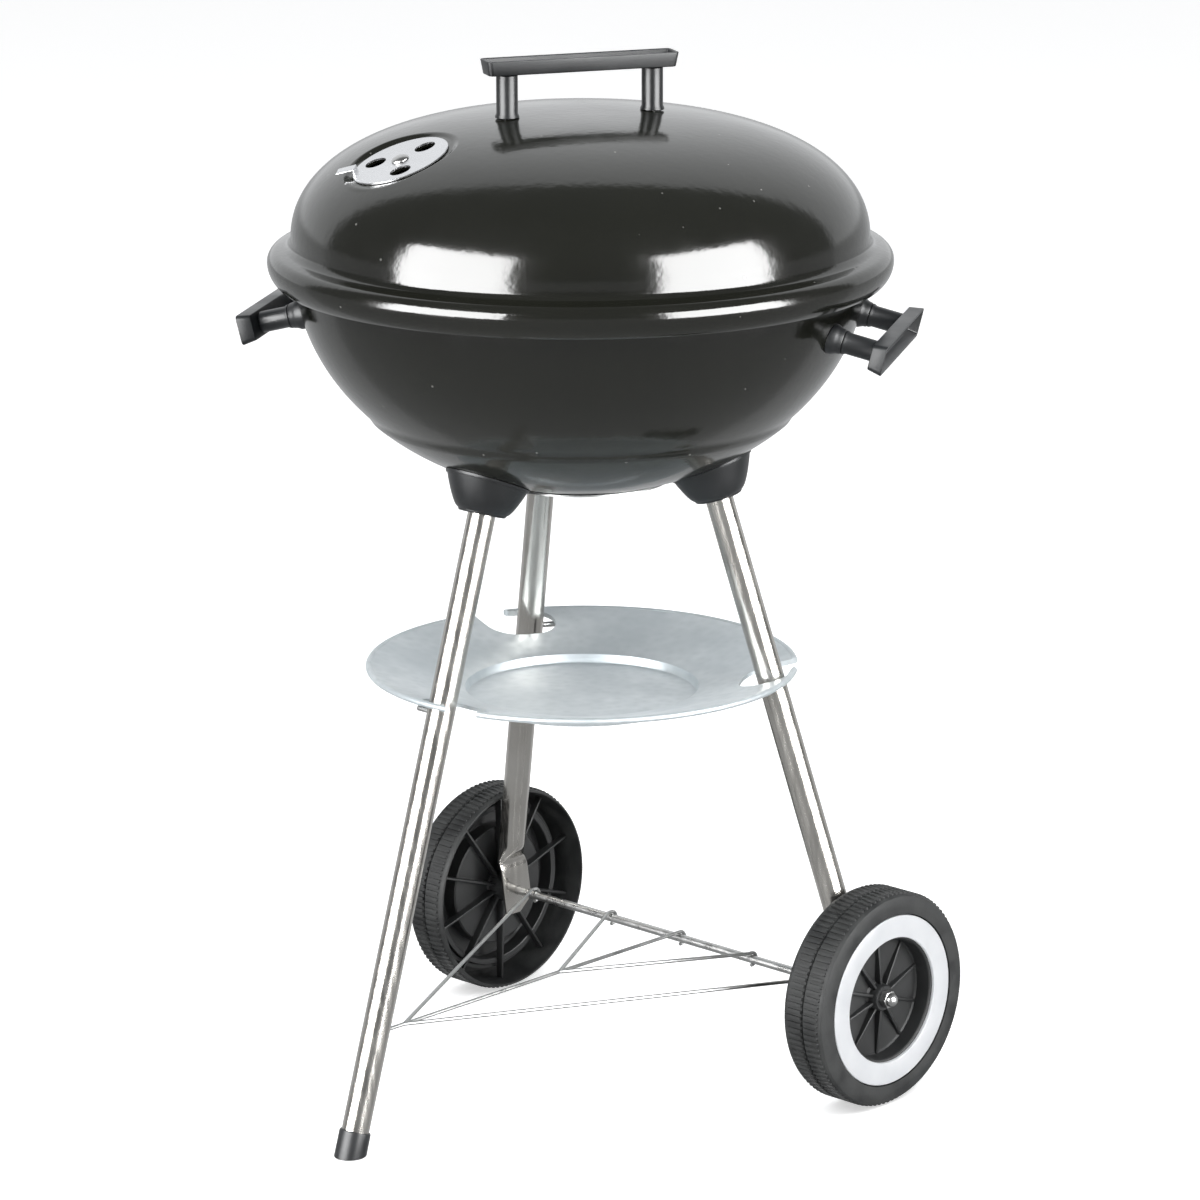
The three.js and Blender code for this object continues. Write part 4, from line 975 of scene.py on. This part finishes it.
# ---- lid handle ----
# The same bar and posts as on the sides, standing straight up on the flat top of the lid and held by
# two screws from inside.
handle_spot = Matrix.Translation((0, 0, lid_height(lid_post_offset)))
handle_root = handle_spot @ Matrix.Rotation(lid_handle_turn, 4, "Z")
lid_bar = put(handle_bar(), handle_root @ Matrix.Translation((0, 0, post_length)))
piece("lid_grip", lid_bar, black_plastic, "lid", ["lid_handle_bar"])
for end, x in (("left", -lid_post_offset), ("right", lid_post_offset)):
    spot = handle_root @ Matrix.Translation((x, 0, 0))
    piece(f"lid_stem_{end}", put(post(0.4), spot), black_plastic, "lid",
          [f"lid_handle_post_{end}"])
    piece(f"lid_bolt_{end}", put(screw(-3.1, 16), spot), plated, "lid",
          [f"lid_handle_screw_{end}"])


# ---- floor, light and camera ----
# A wide matt pale floor with a faint glow of its own that stays out of the gloss. Two high soft boxes
# give the even light, two upright panels give only highlights, and the surround is brighter behind
# the grill than in front of it.
floor_mesh = bmesh.new()
bmesh.ops.create_circle(floor_mesh, cap_ends=True, radius=14, segments=96,
                        matrix=Matrix.Translation((0, 0, -0.0004)))
floor_data = bpy.data.meshes.new("floor")
floor_mesh.to_mesh(floor_data)
floor_mesh.free()
floor_paint, tree, shader, where = finish_of("floor_paint", (0.86, 0.86, 0.86), 0, 0.9,
                                             Specular_IOR_Level=0.2,
                                             Emission_Color=(1, 1, 1, 1), Emission_Strength=0.55)
tree.links.new(blended(tree, noise(tree, where, 3, 2), (0.855, 0.855, 0.855), (0.865, 0.865, 0.865)),
               shader.inputs["Base Color"])
floor_data.materials.append(floor_paint)
floor = bpy.data.objects.new("floor", floor_data)
bpy.context.scene.collection.objects.link(floor)
floor.visible_glossy = False

camera_data = bpy.data.cameras.new("camera")
camera_data.sensor_width, camera_data.lens = 36, 159.5
camera_data.clip_start, camera_data.clip_end = 0.05, 60
camera = bpy.data.objects.new("camera", camera_data)
bpy.context.scene.collection.objects.link(camera)
bpy.context.scene.camera = camera
camera_spot = Vector((2.4683, -2.5477, 1.2784))
looking = Vector((-0.66878, 0.69882, -0.25373))
level = looking.cross(Vector((0, 0, 1))).normalized()
upward = level.cross(looking)
roll = math.radians(-0.15)
right = level * math.cos(roll) + upward * math.sin(roll)
camera_turn = Matrix((right, right.cross(looking), -looking)).transposed().to_4x4()
camera.matrix_world = Matrix.Translation(camera_spot) @ camera_turn


def soft_box(name, azimuth, elevation, distance, power, for_gloss):
    """A large soft light turned to the grill: a high even one, or a bright panel for the gloss."""
    lamp = bpy.data.lights.new(name, "AREA")
    lamp.shape, lamp.size, lamp.size_y, lamp.energy = "RECTANGLE", 2.2, 2.1, power
    holder = bpy.data.objects.new(name, lamp)
    bpy.context.scene.collection.objects.link(holder)
    a, e = math.radians(azimuth), math.radians(elevation)
    back = Vector((math.sin(a) * math.cos(e), -math.cos(a) * math.cos(e), math.sin(e)))
    facing = Vector((back.x, back.y, 0)) if for_gloss else back
    spot = Vector((0, 0, 0.55)) + back * distance
    holder.matrix_world = Matrix.Translation(spot) @ facing.to_track_quat("Z", "Y").to_matrix().to_4x4()
    holder.visible_diffuse, holder.visible_glossy = not for_gloss, for_gloss


for side, azimuth in (("left", -6.3), ("right", 97.7)):
    soft_box(f"soft_box_{side}", azimuth, 48, 3.0, 75, False)
    soft_box(f"soft_panel_{side}", azimuth, 12, 2.6, 270, True)

world = bpy.data.worlds.new("surround")
bpy.context.scene.world = world
world.use_nodes = True
sky = world.node_tree
background = sky.nodes["Background"]
direction = sky.nodes.new("ShaderNodeTexCoord")
behind = sky.nodes.new("ShaderNodeVectorMath")
behind.operation = "DOT_PRODUCT"
behind.inputs[1].default_value = (-0.691, 0.7228, 0)
sky.links.new(direction.outputs["Generated"], behind.inputs[0])
height = sky.nodes.new("ShaderNodeSeparateXYZ")
sky.links.new(direction.outputs["Generated"], height.inputs["Vector"])
strength = ranged(sky, behind.outputs["Value"], 0.44, 0.5, 0, 0)
for limit, below, above in (("To Min", 0.42, 0.2), ("To Max", 0.62, 1.12)):
    sky.links.new(ranged(sky, height.outputs["Z"], -0.03, 0.03, below, above),
                  strength.node.inputs[limit])
background.inputs["Color"].default_value = (0.97, 0.985, 1, 1)
sky.links.new(strength, background.inputs["Strength"])
bpy.context.scene.view_settings.view_transform = "Standard"
